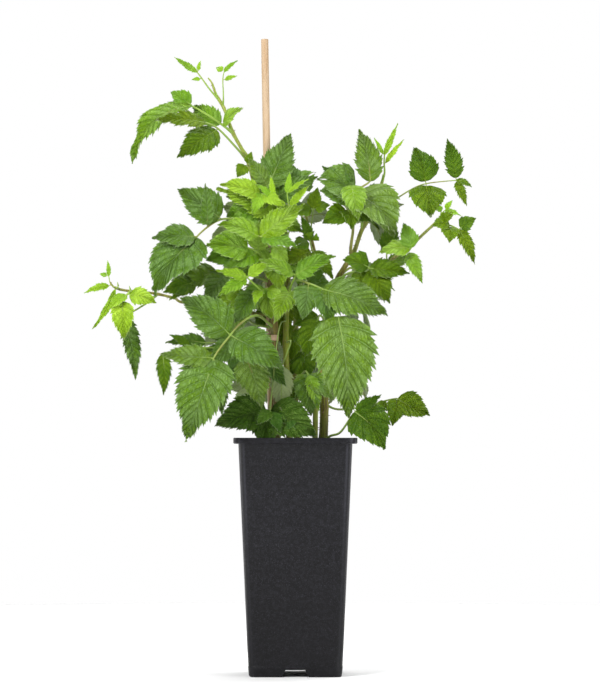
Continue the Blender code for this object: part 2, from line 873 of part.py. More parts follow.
def make_canes():
    """All canes and shoots, as round curves. Returns the middle line of each by name."""
    spines = {}
    for name, host, colour, table in CANES:
        spine = [(Vector(row[:3]), row[3]) for row in table]
        if host:
            start, stub = seat_on(spines[host], spine[0][0], spine[1][0])
            spine = [(start, spine[0][1]), (stub, spine[0][1])] + spine[1:]
        spines[name] = spine
        curve = bpy.data.curves.new(name, "CURVE")
        curve.dimensions = "3D"
        curve.bevel_depth = MM
        curve.bevel_resolution = 2
        curve.use_fill_caps = True
        line = curve.splines.new("POLY")
        line.points.add(len(spine) - 1)
        for point, (centre, radius) in zip(line.points, spine):
            point.co = (*placed(centre), 1)
            point.radius = radius
        finish_object(name, curve, CANE_COLOURS[colour], 0.6)
    return spines


def stake_at(height):
    """The middle of the stake at a height."""
    lean = (STAKE_TOP - STAKE_AT_RIM) / (STAKE_TOP.z - STAKE_AT_RIM.z)
    return STAKE_AT_RIM + lean * (height - STAKE_AT_RIM.z)


def leaning_cylinder(foot, top, radius, sides):
    """A cylinder along a leaning line, in a new bmesh."""
    bm = bmesh.new()
    turn = (top - foot).to_track_quat("Z", "Y").to_matrix().to_4x4()
    bmesh.ops.create_cone(
        bm,
        cap_ends=True,
        segments=sides,
        radius1=radius,
        radius2=radius,
        depth=(top - foot).length,
        matrix=Matrix.Translation((top + foot) / 2) @ turn,
    )
    return bm


def make_stake():
    """The round stick, with both its ends eased."""
    bm = leaning_cylinder(stake_at(SOIL_TOP - STAKE_DEPTH), STAKE_TOP, STAKE_RADIUS, STAKE_SIDES)
    rims = [edge for edge in bm.edges if any(len(face.verts) > 4 for face in edge.link_faces)]
    bmesh.ops.bevel(bm, geom=rims, offset=STAKE_BEVEL, segments=1, affect="EDGES")
    mesh_object("stake", bm, (0.62, 0.43, 0.24), 0.6)


def make_soil(spines):
    """The soil, with a close socket for each cane and for the stake."""
    low = NOTCH_HEIGHT + FLOOR + SOIL_GAP
    inset = POT_WALL + SOIL_GAP
    rings = [wall_ring(height, inset) for height in (low, POT_KNEE_HEIGHT, SOIL_TOP - SOIL_EDGE)]
    rings.append(wall_ring(SOIL_TOP, inset + SOIL_EDGE))
    soil = mesh_object("potting_soil", loft(rings), (0.035, 0.022, 0.014), 0.95)
    cutters = []
    for name, host, _colour, _table in CANES:
        if host is None:
            foot, radius = spines[name][0]
            reach = radius + SOCKET_GAP
            hole = upright_cutter("hole_" + name, foot.x, foot.y, foot.z - SEAT_GAP, SOIL_TOP + 5, reach)
            cutters.append(hole)
    foot = stake_at(SOIL_TOP - STAKE_DEPTH - SEAT_GAP)
    bm = leaning_cylinder(foot, stake_at(SOIL_TOP + 5), STAKE_RADIUS + SEAT_GAP + 0.1, STAKE_SIDES)
    cutters.append(mesh_object("hole_stake", bm, (0, 0, 0), 1))
    cut_with(soil, cutters)


def make_tie(spines):
    """A soft band round the stake and the left cane."""
    stick = stake_at(TIE_HEIGHT)
    cane, _along, radius = nearest_on(spines["cane_left"], stick)
    heading = math.atan2(cane.y - stick.y, cane.x - stick.x)
    bm = bmesh.new()
    verts = []
    for centre, reach, start in (
        (cane, radius + TIE_CLEARANCE, heading - math.pi / 2),
        (stick, STAKE_RADIUS + TIE_CLEARANCE, heading + math.pi / 2),
    ):
        for step in range(9):
            angle = start + math.pi * step / 8
            x = centre.x + reach * math.cos(angle)
            y = centre.y + reach * math.sin(angle)
            verts.append(bm.verts.new((x, y, TIE_HEIGHT - TIE_WIDTH / 2)))
    edges = [bm.edges.new(pair) for pair in zip(verts, verts[1:] + verts[:1])]
    grown = bmesh.ops.extrude_edge_only(bm, edges=edges)["geom"]
    raised = [item for item in grown if isinstance(item, bmesh.types.BMVert)]
    bmesh.ops.translate(bm, vec=(0, 0, TIE_WIDTH), verts=raised)
    tie = mesh_object("tie", bm, (0.62, 0.42, 0.40), 0.6)
    thicken = tie.modifiers.new("thickness", "SOLIDIFY")
    thicken.thickness = TIE_THICKNESS * MM
    thicken.offset = 1
    thicken.use_even_offset = True


def section(centre, forward, up, half_wide, half_high):
    """Corners of a section seen along the stalk: top left, top right, bottom right, bottom left."""
    side = forward.cross(up)
    return [
        centre - side * half_wide + up * half_high,
        centre + side * half_wide + up * half_high,
        centre + side * half_wide - up * half_high,
        centre - side * half_wide - up * half_high,
    ]


def straighten(hint, forward):
    """The part of a facing that lies square to a direction."""
    up = hint - forward * hint.dot(forward)
    if up.length < 0.15:
        spare = Vector((0.2, 0.3, 1.0))
        up = spare - forward * spare.dot(forward)
    return up.normalized()


def extrude_to(bm, face, order, corners):
    """Carry an end face on to new corners, with a side face along each of its four edges."""
    moved = [bm.verts.new(corner) for corner in corners]
    bm.faces.remove(face)
    for k in range(4):
        after = (k + 1) % 4
        bm.faces.new((order[k], order[after], moved[after], moved[k]))
    return bm.faces.new(moved), moved


def grow_leaflet(bm, face, order, base, out, leaflet, facing, folds):
    """Grow a thin arched blade from a face. A broad one notes where its midrib has to sink."""
    tip, seen_width, bow = leaflet
    width = seen_width * BLADE_FULLNESS
    broad = width >= BROAD_LEAFLET
    if out is not None:
        # A side leaflet first steps clear of the stalk and turns half way towards its own tip.
        base = base + out * LEAFLET_STEP
        forward = (out + (tip - base).normalized()).normalized()
        up = straighten(facing, forward)
        corners = section(base, forward, up, LEAFLET_STEP_HALF, BLADE_THICKNESS / 2)
        face, order = extrude_to(bm, face, order, corners)
    run = tip - base
    chord_up = straighten(facing, run.normalized())
    outline = BROAD_OUTLINE if broad else NARROW_OUTLINE
    for share, wide in outline:
        centre = base + run * share + chord_up * (4 * bow * share * (1 - share))
        forward = (run + chord_up * (4 * bow * (1 - 2 * share))).normalized()
        up = straighten(chord_up, forward)
        half_wide = max(0.4, wide * width / 2)
        corners = section(centre, forward, up, half_wide, BLADE_THICKNESS / 2)
        face, order = extrude_to(bm, face, order, corners)
        if broad and share < 1:
            drop = up * (-FOLD * half_wide)
            folds.append((order[0], order[1], drop))
            folds.append((order[2], order[3], drop))


def fold_midribs(bm, folds):
    """Split broad blades along their midribs, sink the ribs and join them from section to section."""
    ribs = []
    for first, second, drop in folds:
        edge = bm.edges.get((first, second))
        _half, middle = bmesh.utils.edge_split(edge, first, 0.5)
        middle.co += drop
        ribs.append(middle)
    bmesh.ops.connect_verts(bm, verts=ribs)


def face_leaflets(leaflets, node, heading, up):
    """Turn a node about its stalk so that its side faces look towards its leaflets."""
    ways = [tip - node for tip, _width, _bow in leaflets]
    ways = [(way - heading * way.dot(heading)).normalized() for way in ways]
    across = ways[0] - ways[1] if len(ways) == 2 else ways[0]
    if across.length < 0.2:
        return up
    turned = across.normalized().cross(heading)
    return turned if turned.dot(up) > 0 else -turned


def grow_leaf(facing, stalk, end, sides):
    """One compound leaf: its stalk and all its leaflets in one closed skin."""
    facing = Vector(facing).normalized()
    nodes = {}
    for node, tip, width, bow in sides:
        nodes.setdefault(node, []).append((Vector(tip), width, bow))

    # Directions at the stalk points, and an up that is carried back from the end to the base.
    last = len(stalk) - 1
    onward = (Vector(end[0]) - stalk[-1]).normalized() * (stalk[-1] - stalk[-2]).length
    ahead = stalk[1:] + [stalk[-1] + onward]
    headings = [(ahead[k] - stalk[max(k - 1, 0)]).normalized() for k in range(last + 1)]
    ups = [straighten(facing, headings[-1])]
    for heading in reversed(headings[:-1]):
        ups.insert(0, (ups[0] - heading * ups[0].dot(heading)).normalized())
    for k, leaflets in nodes.items():
        ups[k] = face_leaflets(leaflets, stalk[k], headings[k], ups[k])

    bm = bmesh.new()
    corners = section(stalk[0], headings[0], ups[0], STALK_HALF_BASE, STALK_HALF_BASE)
    base = [bm.verts.new(corner) for corner in corners]
    face, order = bm.faces.new(base), base
    folds = []
    for k in range(1, last + 1):
        half = STALK_HALF_BASE + (STALK_HALF_END - STALK_HALF_BASE) * k / last
        heading, up = headings[k], ups[k]
        if k not in nodes:
            face, order = extrude_to(bm, face, order, section(stalk[k], heading, up, half, half))
            continue
        # A point that carries side leaflets gets a short stretch whose side faces they grow from.
        shift = heading * NODE_HALF_LENGTH
        face, order = extrude_to(bm, face, order, section(stalk[k] - shift, heading, up, half, half))
        back = order
        face, order = extrude_to(bm, face, order, section(stalk[k] + shift, heading, up, half, half))
        openings = {
            "left": [back[0], order[0], order[3], back[3]],
            "right": [order[1], back[1], back[2], order[2]],
        }
        right = heading.cross(up)
        for side, leaflet in assign_sides(nodes[k], stalk[k], right):
            start = openings[side]
            side_face = bm.faces.get(start)
            middle = sum((vert.co for vert in start), Vector()) / 4
            out = right if side == "right" else -right
            grow_leaflet(bm, side_face, start, middle, out, leaflet, facing, folds)
    tip, width, bow = end
    grow_leaflet(bm, face, order, stalk[-1], None, (Vector(tip), width, bow), facing, folds)
    bm.faces.new(list(reversed(base)))
    fold_midribs(bm, folds)
    return bm


def assign_sides(leaflets, node, right):
    """Which side of the stalk each leaflet of a node leaves from."""
    ordered = sorted(leaflets, key=lambda leaflet: (leaflet[0] - node).dot(right))
    if len(ordered) == 2:
        return [("left", ordered[0]), ("right", ordered[1])]
    leans_right = (ordered[0][0] - node).dot(right) > 0
    return [("right" if leans_right else "left", ordered[0])]


def make_leaves(spines):
    """All leaves, each seated on its own cane or shoot."""
    for name, host, tone, facing, stalk, end, sides in LEAVES:
        places = [Vector(place) for place in stalk]
        start, stub = seat_on(spines[host], places[0], places[1])
        # The seated stub adds a point ahead of the table's own, so the nodes move up by one.
        shifted = [(node + 1, tip, width, bow) for node, tip, width, bow in sides]
        bm = grow_leaf(facing, [start, stub] + places[1:], end, shifted)
        mesh_object(name, bm, LEAF_COLOURS[tone], 0.5)


def main():
    clear_scene()
    make_pot()
    spines = make_canes()
    make_soil(spines)
    make_stake()
    make_tie(spines)
    make_leaves(spines)


main()
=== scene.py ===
import math

import bmesh
import bpy
import numpy as np
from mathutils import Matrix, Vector


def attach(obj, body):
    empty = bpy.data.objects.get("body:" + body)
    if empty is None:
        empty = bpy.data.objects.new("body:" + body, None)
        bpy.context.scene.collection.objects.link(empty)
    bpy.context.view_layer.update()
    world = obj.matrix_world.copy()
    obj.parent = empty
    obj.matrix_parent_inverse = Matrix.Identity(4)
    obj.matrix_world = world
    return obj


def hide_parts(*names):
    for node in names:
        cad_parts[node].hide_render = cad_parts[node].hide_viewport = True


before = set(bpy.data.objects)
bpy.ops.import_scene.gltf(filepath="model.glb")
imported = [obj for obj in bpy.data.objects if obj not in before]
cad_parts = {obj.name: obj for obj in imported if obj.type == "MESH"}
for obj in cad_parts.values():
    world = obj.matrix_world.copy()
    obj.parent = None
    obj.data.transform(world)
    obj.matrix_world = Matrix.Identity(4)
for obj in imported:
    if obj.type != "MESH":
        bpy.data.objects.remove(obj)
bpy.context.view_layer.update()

bl_info = {
    "name": "Potted Raspberry Plant",
    "version": (1, 0, 0),
    "blender": (4, 5, 0),
    "location": "3D View > Sidebar > Raspberry",
    "description": "Builds a staked raspberry plant in a deep nursery pot",
    "category": "Add Mesh",
}

# Plant measures below are millimetres from the middle of the pot at the ground:
# x to the right, y away from the viewer, z up. The pot's middle stands here in the frame.
MM = 0.001
AXIS_X = 13.4
AXIS_Y = -5.0

# Blades lean back, so they are wider by this than their widths seen from the front.
BLADE_FULLNESS = 1.04

# Where a lateral vein runs in the gap between two main teeth, as a share of that gap.
VEIN_PLACE = 0.9

# A leaflet this long, in millimetres, has the skin's relief in full, and shorter ones less.
FULL_SPAN = 46.0

# Leaf stalks: the thickest radius, the share of it that is left at the end leaflet,
# how far the swollen foot reaches and how much thicker it is.
STALK_THICKEST = 1.25
STALK_TAPER = 0.62
STALK_FOOT = 5.5
STALK_SWELL = 1.35

# A side leaflet starts so far out from the middle of its stalk.
SIDE_START = 0.9

# How much a leaflet may lean away from the way its leaf faces, at the end and at the sides.
END_TILT = 0.12
SIDE_TILT = 0.18

# A bud's height and radius, from its foot to its tip.
BUD = ((0.0, 0.9), (1.2, 1.35), (2.6, 1.1), (4.2, 0.25))

# Where something leaves a cane, the cane is thicker by this share, over about this distance.
KNUCKLE_SWELL = 0.28
KNUCKLE_REACH = 3.2

# Sides of a round cane and of a leaf stalk, and the distance in metres between a stalk's rings.
CANE_SIDES = 12
STALK_SIDES = 7
STALK_RINGS = 0.003

# Random turns go nearly once round, in radians.
ONCE_ROUND = 6.28

# How old each tone's blades look, from 0 to 1, and how much blue is added to their pale veins and painted
# highlights.
AGES = {"young": 0.0, "fresh": 0.3, "mature": 0.6, "olive": 0.8, "dark": 1.0}
PALE_BLUES = {"young": 0.05, "fresh": 0.12, "mature": 0.14, "olive": 0.01, "dark": 0.04}

# The way that most inner leaves face: to the viewer and a little up.
FRONT = (0, -0.9, 0.4)

# Canes and shoots: name, host or None, colour, then points of x, y, z and radius.
CANES = [
    ("cane_left", None, "bark", [
        (-16, -7, 176, 3.4), (-16, -7, 200, 3.3), (-17.5, -7.4, 260, 3.1), (-19.5, -7.6, 312, 2.9),
        (-23, -7.6, 360, 2.6), (-28, -7.4, 395, 2.3), (-34.5, -6.8, 428, 2.1), (-42, -5, 460, 1.9),
        (-49, -3.5, 473, 1.7), (-57, -3, 488, 1.6), (-64, -2, 508, 1.4), (-71, -1.5, 520, 1.2),
        (-75, -1.5, 531, 0.9), (-78.5, -2, 535.5, 0.6)
    ]),
    ("cane_centre", None, "green", [
        (-5, 5, 176, 3.2), (-5, 5, 200, 3.1), (-8.5, 5, 290, 2.7), (-8, 4, 330, 2.5), (-6.5, 3, 370, 2.2),
        (-9, 1, 398, 1.9), (-14, -2.5, 418, 1.6), (-17.5, -4.5, 428, 1.2)
    ]),
    ("cane_right", None, "olive", [
        (24.5, 2, 176, 4.2), (24.5, 2, 200, 4.1), (26, 1, 240, 3.8), (25, -1, 290, 3.3), (30, -2, 335, 2.8),
        (42, -2, 362, 2.4), (52, -1.5, 378, 2), (60, -0.5, 400, 1.8), (69, 1, 414, 1.6), (76, 2, 436, 1.3),
        (79, 2, 447, 1)
    ]),
    ("cane_back", None, "olive", [
        (2, 24, 176, 3.3), (2, 24, 200, 3.2), (-1.5, 26, 285, 2.7), (3, 30, 340, 2.3), (8, 34, 382, 1.8),
        (9, 37, 408, 1.2)
    ]),
    ("young_shoot", None, "green", [
        (17.5, -8.5, 176, 2.6), (17.5, -8.5, 200, 2.6), (18, -8.5, 236, 2.4), (18.5, -9.5, 250, 3),
        (19, -10.5, 260, 1.2)
    ]),
    ("side_shoot_far_left", "cane_left", "olive", [
        (-20, -7.6, 322, 1.48), (-45, -3, 325, 1.4), (-72, -4, 331.5, 1.33), (-102, -6, 334, 1.25),
        (-108, -6, 337.5, 1.25), (-128, -7, 342, 1.17), (-150, -8, 344, 1.09), (-162, -8, 347, 0.86),
        (-166, -8, 352, 0.62)
    ]),
    ("side_shoot_far_right", "cane_right", "olive", [
        (32, -2, 340, 1.9), (50, -7, 345, 1.8), (71.5, -11, 354.5, 1.7), (87, -13, 372.5, 1.6),
        (103, -14, 384, 1.5), (117, -14, 397, 1.3), (131, -14, 409.5, 1)
    ]),
    ("side_shoot_top_right", "cane_right", "bark", [
        (50, -1.5, 374, 1.4), (49.5, -8, 382, 1.4), (52, -8, 404, 1.2), (51, -5, 434, 1)
    ]),
    ("side_shoot_centre", "cane_right", "bark", [
        (27.5, -2, 325, 1.6), (21, -6, 345, 1.5), (17.6, -7, 377, 1.3), (12, -6, 400, 1.2),
        (8, -5, 421, 0.9)
    ]),
]

# Leaves: name, host cane, tone, facing, stalk points, end leaflet, side leaflets.
# The end leaflet is (tip, width, bow); a side leaflet is (stalk point it leaves from, tip, width, bow).
# Widths are as seen from the front.
LEAVES = [
    ("leaf_top_left", "cane_left", "fresh", (-0.4, -0.75, 0.5),
     [(-56, -3, 486), (-66, -9, 493), (-75, -11, 499), (-93, -13, 510)], ((-146.5, -20, 457), 28, 18),
     [(1, (-47, -22, 507), 21, 2), (1, (-94, 6, 512), 18, 1), (3, (-112, -8, 523), 16, 2)]),
    ("leaf_top_left_lower", "cane_left", "olive", (-0.1, -0.85, 0.5),
     [(-43.6, -5, 462), (-54, -16, 473), (-69, -24, 488), (-80, -30, 493)], ((-125, -44, 494), 17, 3),
     [(2, (-105, -42, 461), 27, 4)]),
    ("tip_leaf_left", "cane_left", "fresh", (-0.2, -0.85, 0.5),
     [(-69, -2, 516), (-77, -6, 525), (-84, -8, 534.6), (-88, -9, 540)], ((-108.5, -12, 553.5), 6, 1),
     [(3, (-85, -11, 550), 4, 0.5), (2, (-93, -11, 533), 4, 0.5)]),
    ("tip_leaf_right", "cane_left", "fresh", (0.1, -0.85, 0.5),
     [(-65, -2, 510), (-64.5, -8, 519), (-65, -10, 533), (-64, -11, 540)], ((-51.5, -14, 550), 4.5, 1),
     [(2, (-52, -14, 536), 6, 0.5), (3, (-71, -8, 544), 7, 1)]),
    ("small_leaf_top", "cane_left", "olive", (0.2, -0.9, 0.35),
     [(-41, -5, 456), (-43, -14, 456), (-45, -17, 456)], ((-52, -20, 445), 12, 2),
     [(1, (-39, -18, 468), 8, 2)]),
    ("leaf_broad_left", "cane_left", "mature", (-0.2, -0.85, 0.5),
     [(-32, -7, 418), (-46, -20, 409), (-66, -26, 407), (-78, -30, 400), (-88, -34, 391)],
     ((-125, -58, 338), 51, 7),
     [(2, (-105, -30, 434), 31, 4), (3, (-80, -48, 437), 11, 2), (4, (-127, -44, 390), 24, 3)]),
    ("leaf_middle_left", "cane_left", "fresh", (-0.1, -0.85, 0.5),
     [(-24, -7.6, 368), (-34, -20, 378), (-42, -24, 382)], ((-80, -30, 384), 32, 3),
     [(1, (-62, -36, 364), 20, 4), (1, (-32, -26, 406), 18, 3)]),
    ("leaf_under_broad", "cane_left", "mature", (-0.1, -0.9, 0.4),
     [(-22.5, -7.6, 352), (-38, -12, 357), (-60, -13, 361), (-70, -14, 360)], ((-112, -18, 348), 24, 3),
     [(2, (-80, -34, 331), 20, 3), (1, (-58, -30, 382), 16, 3)]),
    ("leaf_top_centre", "cane_centre", "mature", (-0.1, -0.95, 0.3),
     [(-15, -3.5, 422), (-20, -13, 427), (-25, -15, 436)], ((-4, -8, 486), 29, 5),
     [(2, (-42, -24, 462), 16, 2), (1, (20, -20, 446), 22, 3), (1, (-62, -19, 428), 22, 2)]),
    ("young_leaf_high_left", "cane_centre", "young", FRONT,
     [(-10.5, 0, 404), (-14, -16, 410), (-17, -24, 420), (-20, -26, 426)], ((-35.5, -28, 438.5), 6, 1),
     [(3, (-22, -30, 446), 5, 0.6), (2, (-8.5, -27, 420), 8, 0.8), (1, (-70, -30, 435), 22, 2)]),
    ("young_leaf_high_right", "cane_centre", "young", (0.1, -0.9, 0.4),
     [(-8, 1.5, 392), (-5, -16, 400), (-6, -28, 418), (-7.5, -32, 430)], ((-5, -33, 449), 6, 0.8),
     [(3, (12, -40, 442), 5, 0.8), (2, (13, -34, 437), 7, 0.8)]),
    ("leaf_bright_star", "cane_left", "fresh", (0.05, -0.85, 0.5),
     [(-25.5, -7.6, 379), (-21, -24, 384), (-31, -38, 391)], ((8, -44, 420), 25, 4),
     [(2, (-69, -44, 402), 22, 4), (2, (2, -54, 381), 17, 3), (1, (-6, -28, 366), 15, 3)]),
    ("young_leaf_ribbed", "cane_left", "young", (-0.05, -0.85, 0.5),
     [(-21, -7.6, 336), (-31, -26, 344), (-43, -38, 355)], ((-71, -44, 361), 11, 2),
     [(2, (-69, -52, 337), 13, 3), (2, (-24, -34, 368), 11, 2), (1, (-36, -46, 330), 9, 2)]),
    ("leaf_small_middle", "cane_left", "mature", FRONT,
     [(-20.4, -7.6, 328), (-28, -22, 336), (-38, -27, 343)], ((-54, -34, 315), 20, 3),
     [(1, (-24, -28, 319), 13, 2)]),
    ("leaf_centre", "cane_centre", "fresh", (0.05, -0.85, 0.5),
     [(-8, 4, 330), (-5, -20, 344), (0, -36, 357)], ((35, -50, 374), 20, 4),
     [(2, (-32, -50, 370), 15, 3), (1, (-19, -56, 314), 18, 5), (1, (22, -42, 330), 16, 3)]),
    ("leaf_centre_right", "cane_centre", "mature", (0.15, -0.85, 0.5),
     [(-7.5, 3.5, 346), (0, -24, 353), (12, -44, 349), (24, -50, 344)], ((82, -58, 320), 38, 5),
     [(3, (30, -62, 311), 24, 4), (2, (6, -60, 316), 24, 4)]),
    ("leaf_big_right", "cane_right", "mature", (0.1, -0.93, 0.36),
     [(25.5, -1.5, 297), (31, -26, 304), (35, -50, 314), (38, -60, 320)], ((47, -84, 230), 55, 8),
     [(1, (72, -30, 291), 16, 3), (2, (15, -46, 300), 14, 3)]),
    ("leaf_high_right", "side_shoot_top_right", "mature", (0.15, -0.9, 0.42),
     [(51.2, -5.5, 428), (54, -16, 433), (67, -18, 441)], ((57, -14, 489), 24, 3),
     [(1, (19, -24, 443), 37, 4), (1, (89, -46, 394), 46, 6)]),
    ("leaf_high_right_lower", "side_shoot_top_right", "olive", (0.05, -0.9, 0.42),
     [(51.8, -7, 414), (46, -18, 416), (47, -27, 415)], ((50, -44, 397), 18, 4),
     [(2, (24, -36, 403), 20, 4), (2, (67, -26, 405), 18, 3)]),
    ("small_leaf_centre", "side_shoot_centre", "olive", (0.1, -0.9, 0.4),
     [(13, -6.3, 395), (15, -14, 408), (16, -17, 417)], ((20, -20, 436), 13, 2),
     [(2, (31, -20, 420), 12, 2), (2, (0, -18, 412), 14, 2)]),
    ("young_leaf_top_right", "cane_right", "young", FRONT,
     [(77.8, 2, 442), (80, -6, 450), (79.5, -8, 458), (79.7, -9, 466)], ((91.5, -12, 494), 5.5, 3),
     [(3, (70.5, -12, 481), 4, 1), (2, (97, -12, 479.5), 5, 1)]),
    ("leaf_far_right", "cane_right", "olive", (0.15, -0.88, 0.45),
     [(70.5, 1, 419), (84, -5, 423), (103, -8, 434.5), (117, -10, 440), (144, -12, 443)],
     ((158, -14, 437), 7, 1),
     [(3, (106, -8, 473), 27, 4), (3, (121, -24, 409), 32, 4), (4, (136, -10, 480.5), 16, 3),
     (4, (153, -20, 419), 9, 2)]),
    ("leaf_right_tip", "side_shoot_far_right", "olive", (0.15, -0.88, 0.45),
     [(124, -14, 403), (130, -20, 402), (137, -23, 402), (146, -24, 398)], ((160, -26, 367), 12, 3),
     [(3, (161, -25, 408), 14, 2), (2, (137, -30, 386), 17, 4)]),
    ("young_leaf_right_tip", "side_shoot_far_right", "young", (0, -0.88, 0.45),
     [(129.5, -14, 408), (131, -18, 413), (134, -19, 416)], ((147, -33, 410), 6, 1),
     [(2, (140, -24, 424), 5, 1), (1, (126, -19, 421), 6, 1)]),
    ("leaf_right_middle", "side_shoot_far_right", "fresh", (0.05, -0.88, 0.45),
     [(98, -14, 380.5), (101, -21, 379), (103.5, -25, 381.5)], ((96, -26, 404), 17, 2),
     [(2, (74, -30, 377), 18, 3), (1, (113, -34, 350), 13, 3)]),
    ("leaf_right_dark", "cane_right", "olive", (0.1, -0.88, 0.45),
     [(36, -2, 349), (44, -14, 358), (58, -19, 362), (66, -20, 364)], ((102, -24, 359), 20, 3),
     [(3, (84, -30, 332), 24, 3), (3, (42, -24, 371), 21, 3), (2, (60, -30, 336), 20, 3)]),
    ("leaf_right_behind", "side_shoot_far_right", "olive", (0.05, -0.9, 0.4),
     [(82, -12.5, 366), (82, -2, 368), (82, 6, 380)], ((89, 14, 408), 16, 3),
     [(1, (104, 12, 376), 14, 3), (1, (62, 10, 346), 15, 3)]),
    ("leaf_centre_dark", "side_shoot_centre", "olive", FRONT,
     [(17.7, -7, 374), (15, -18, 380), (13, -22, 388)], ((5, -26, 410), 10, 2),
     [(2, (-2, -28, 381), 16, 2), (2, (18, -26, 397), 13, 2), (1, (34, -26, 354), 15, 3),
     (1, (-14, -24, 364), 18, 3)]),
    ("leaf_low_right", "cane_right", "olive", (0.25, -0.88, 0.4),
     [(24.8, 1.8, 208), (31, -9, 214), (40, -15, 217), (49, -18, 230), (53, -19, 236)],
     ((79.5, -26, 202), 40, 6),
     [(4, (77, -14, 251), 12, 1), (3, (41, -24, 249), 9, 2)]),
    ("leaf_low_right_dark", "cane_right", "olive", (0.15, -0.88, 0.45),
     [(26, 1, 243), (38, 8, 238), (60, 10, 240), (82, 6, 246), (92, 4, 248)], ((121, -2, 233), 26, -3),
     [(4, (87, -4, 223), 18, 3), (3, (72, 2, 236), 9, 1)]),
    ("leaf_low_centre", "cane_left", "dark", (0, -0.92, 0.4),
     [(-18, -7.5, 281), (-19, -18, 272), (-21.5, -27, 248), (-24, -30, 237)], ((-26, -43, 203), 32, 4),
     [(3, (-72, -40, 223), 34, 5), (3, (19, -42, 214), 36, 5)]),
    ("leaf_low_left", "cane_left", "mature", (-0.1, -0.9, 0.42),
     [(-19.6, -7.6, 311), (-34, -36, 321), (-49, -52, 313), (-57, -60, 303), (-67, -66, 290),
     (-72, -69, 282)], ((-96, -92, 209), 49, 8),
     [(3, (-102, -62, 336), 34, 5), (3, (-10, -76, 273), 35, 6), (5, (-119, -72, 286), 20, 3),
     (5, (-64, -82, 232), 22, 4)]),
    ("leaf_low_middle", "cane_left", "mature", (0.05, -0.92, 0.4),
     [(-18.4, -7.5, 291), (-32, -24, 290), (-44, -34, 284)], ((-29, -52, 238), 30, 5),
     [(1, (-8, -36, 258), 20, 3), (1, (-64, -32, 257), 24, 3)]),
    ("leaf_low_underside", "cane_centre", "olive", (0.1, 0.9, 0.3),
     [(-8.5, 5, 298), (-4, -14, 298), (-12, -26, 276)], ((-12, -34, 236), 20, 3), []),
    ("leaf_behind_left", "cane_left", "olive", (-0.1, -0.9, 0.42),
     [(-18.2, -7.5, 289), (-40, -16, 296), (-66, -22, 293), (-94, -27, 292), (-118, -31, 287)],
     ((-117, -36, 250), 13, 2),
     [(3, (-112, -32, 304), 8, 2), (2, (-98, -34, 259), 13, 3)]),
    ("leaf_far_left", "side_shoot_far_left", "young", (-0.05, -0.88, 0.47),
     [(-147, -8, 343.7), (-150, -15, 341), (-155, -18, 334)], ((-153, -24, 300), 20, 3),
     [(1, (-124, -18, 333), 17, 3), (1, (-166, -22, 327), 13, 2)]),
    ("leaf_far_left_hanging", "side_shoot_far_left", "mature", (0.3, -0.9, 0.25),
     [(-124, -7, 341), (-130, -1, 336), (-139, 1, 330), (-154, 1, 321)], ((-143.5, -2, 264), 16, 3), []),
    ("young_leaf_left_tip", "side_shoot_far_left", "young", (-0.1, -0.88, 0.47),
     [(-158, -8, 346), (-160, -14, 347), (-165, -15, 349), (-167, -15, 357)], ((-168, -14, 371), 4, 0.5),
     [(3, (-175, -14, 359), 5, 0.5), (2, (-189, -16, 342), 7, 1), (1, (-182, -18, 309), 6, -5)]),
    ("back_leaf_top", "cane_back", "dark", (0, 0.8, 0.6),
     [(9, 36.5, 404), (6, 48, 414), (2, 58, 424)], ((-6, 96, 424), 32, 6),
     [(2, (-36, 68, 420), 26, 5), (2, (26, 86, 427), 21, 5), (1, (36, 50, 414), 22, 4)]),
    ("back_leaf_upper_left", "cane_left", "mature", (-0.3, 0.75, 0.6),
     [(-29.5, -7.2, 403), (-38, 10, 408), (-46, 30, 404)], ((-64, 70, 376), 32, 6),
     [(2, (-78, 28, 390), 24, 5), (1, (-16, 46, 392), 24, 5), (1, (-66, -2, 420), 22, 4)]),
    ("back_leaf_upper_right", "cane_right", "olive", (0.35, 0.75, 0.55),
     [(62, 0, 404), (66, 14, 412), (66, 26, 414)], ((80, 66, 398), 28, 6),
     [(2, (48, 58, 410), 22, 5), (1, (98, 20, 424), 20, 4), (1, (40, 16, 428), 22, 4)]),
    ("back_leaf_middle", "cane_back", "mature", (0, 0.85, 0.5),
     [(4.5, 31, 352), (-2, 46, 360), (-6, 58, 358)], ((-12, 104, 326), 36, 7),
     [(2, (-48, 74, 350), 28, 5), (1, (30, 74, 354), 26, 5), (1, (-38, 44, 366), 22, 4)]),
    ("back_leaf_middle_right", "cane_right", "fresh", (0.4, 0.75, 0.5),
     [(40, -2, 358), (50, 16, 366), (58, 30, 362)], ((82, 66, 338), 32, 6),
     [(2, (50, 74, 328), 26, 5), (1, (90, 28, 347), 20, 5)]),
    ("back_leaf_middle_left", "cane_left", "olive", (-0.4, 0.75, 0.5),
     [(-18.7, -7.5, 311), (-36, -3, 314), (-44, 16, 320), (-52, 30, 318)], ((-84, 62, 296), 34, 6),
     [(3, (-34, 72, 304), 28, 5), (2, (-86, 18, 316), 26, 5)]),
    ("back_leaf_lower", "cane_back", "dark", (0.1, 0.85, 0.5),
     [(-0.5, 27, 300), (4, 44, 308), (8, 56, 304)], ((24, 98, 262), 36, 7),
     [(2, (-24, 82, 276), 28, 5), (1, (42, 56, 296), 24, 5), (1, (-30, 44, 302), 22, 4)]),
    ("back_leaf_lower_left", "cane_back", "mature", (-0.3, 0.8, 0.5),
     [(-0.5, 25, 258), (-14, 38, 268), (-26, 48, 264)], ((-56, 78, 228), 32, 6),
     [(2, (-62, 42, 256), 24, 5), (1, (-8, 84, 240), 26, 5)]),
    ("back_leaf_lower_right", "cane_right", "mature", (0.4, 0.8, 0.45),
     [(25, -0.5, 276), (38, 14, 286), (50, 28, 282)], ((52, 66, 250), 26, 6),
     [(2, (31, 74, 244), 26, 5), (1, (68, 20, 290), 20, 5)]),
]

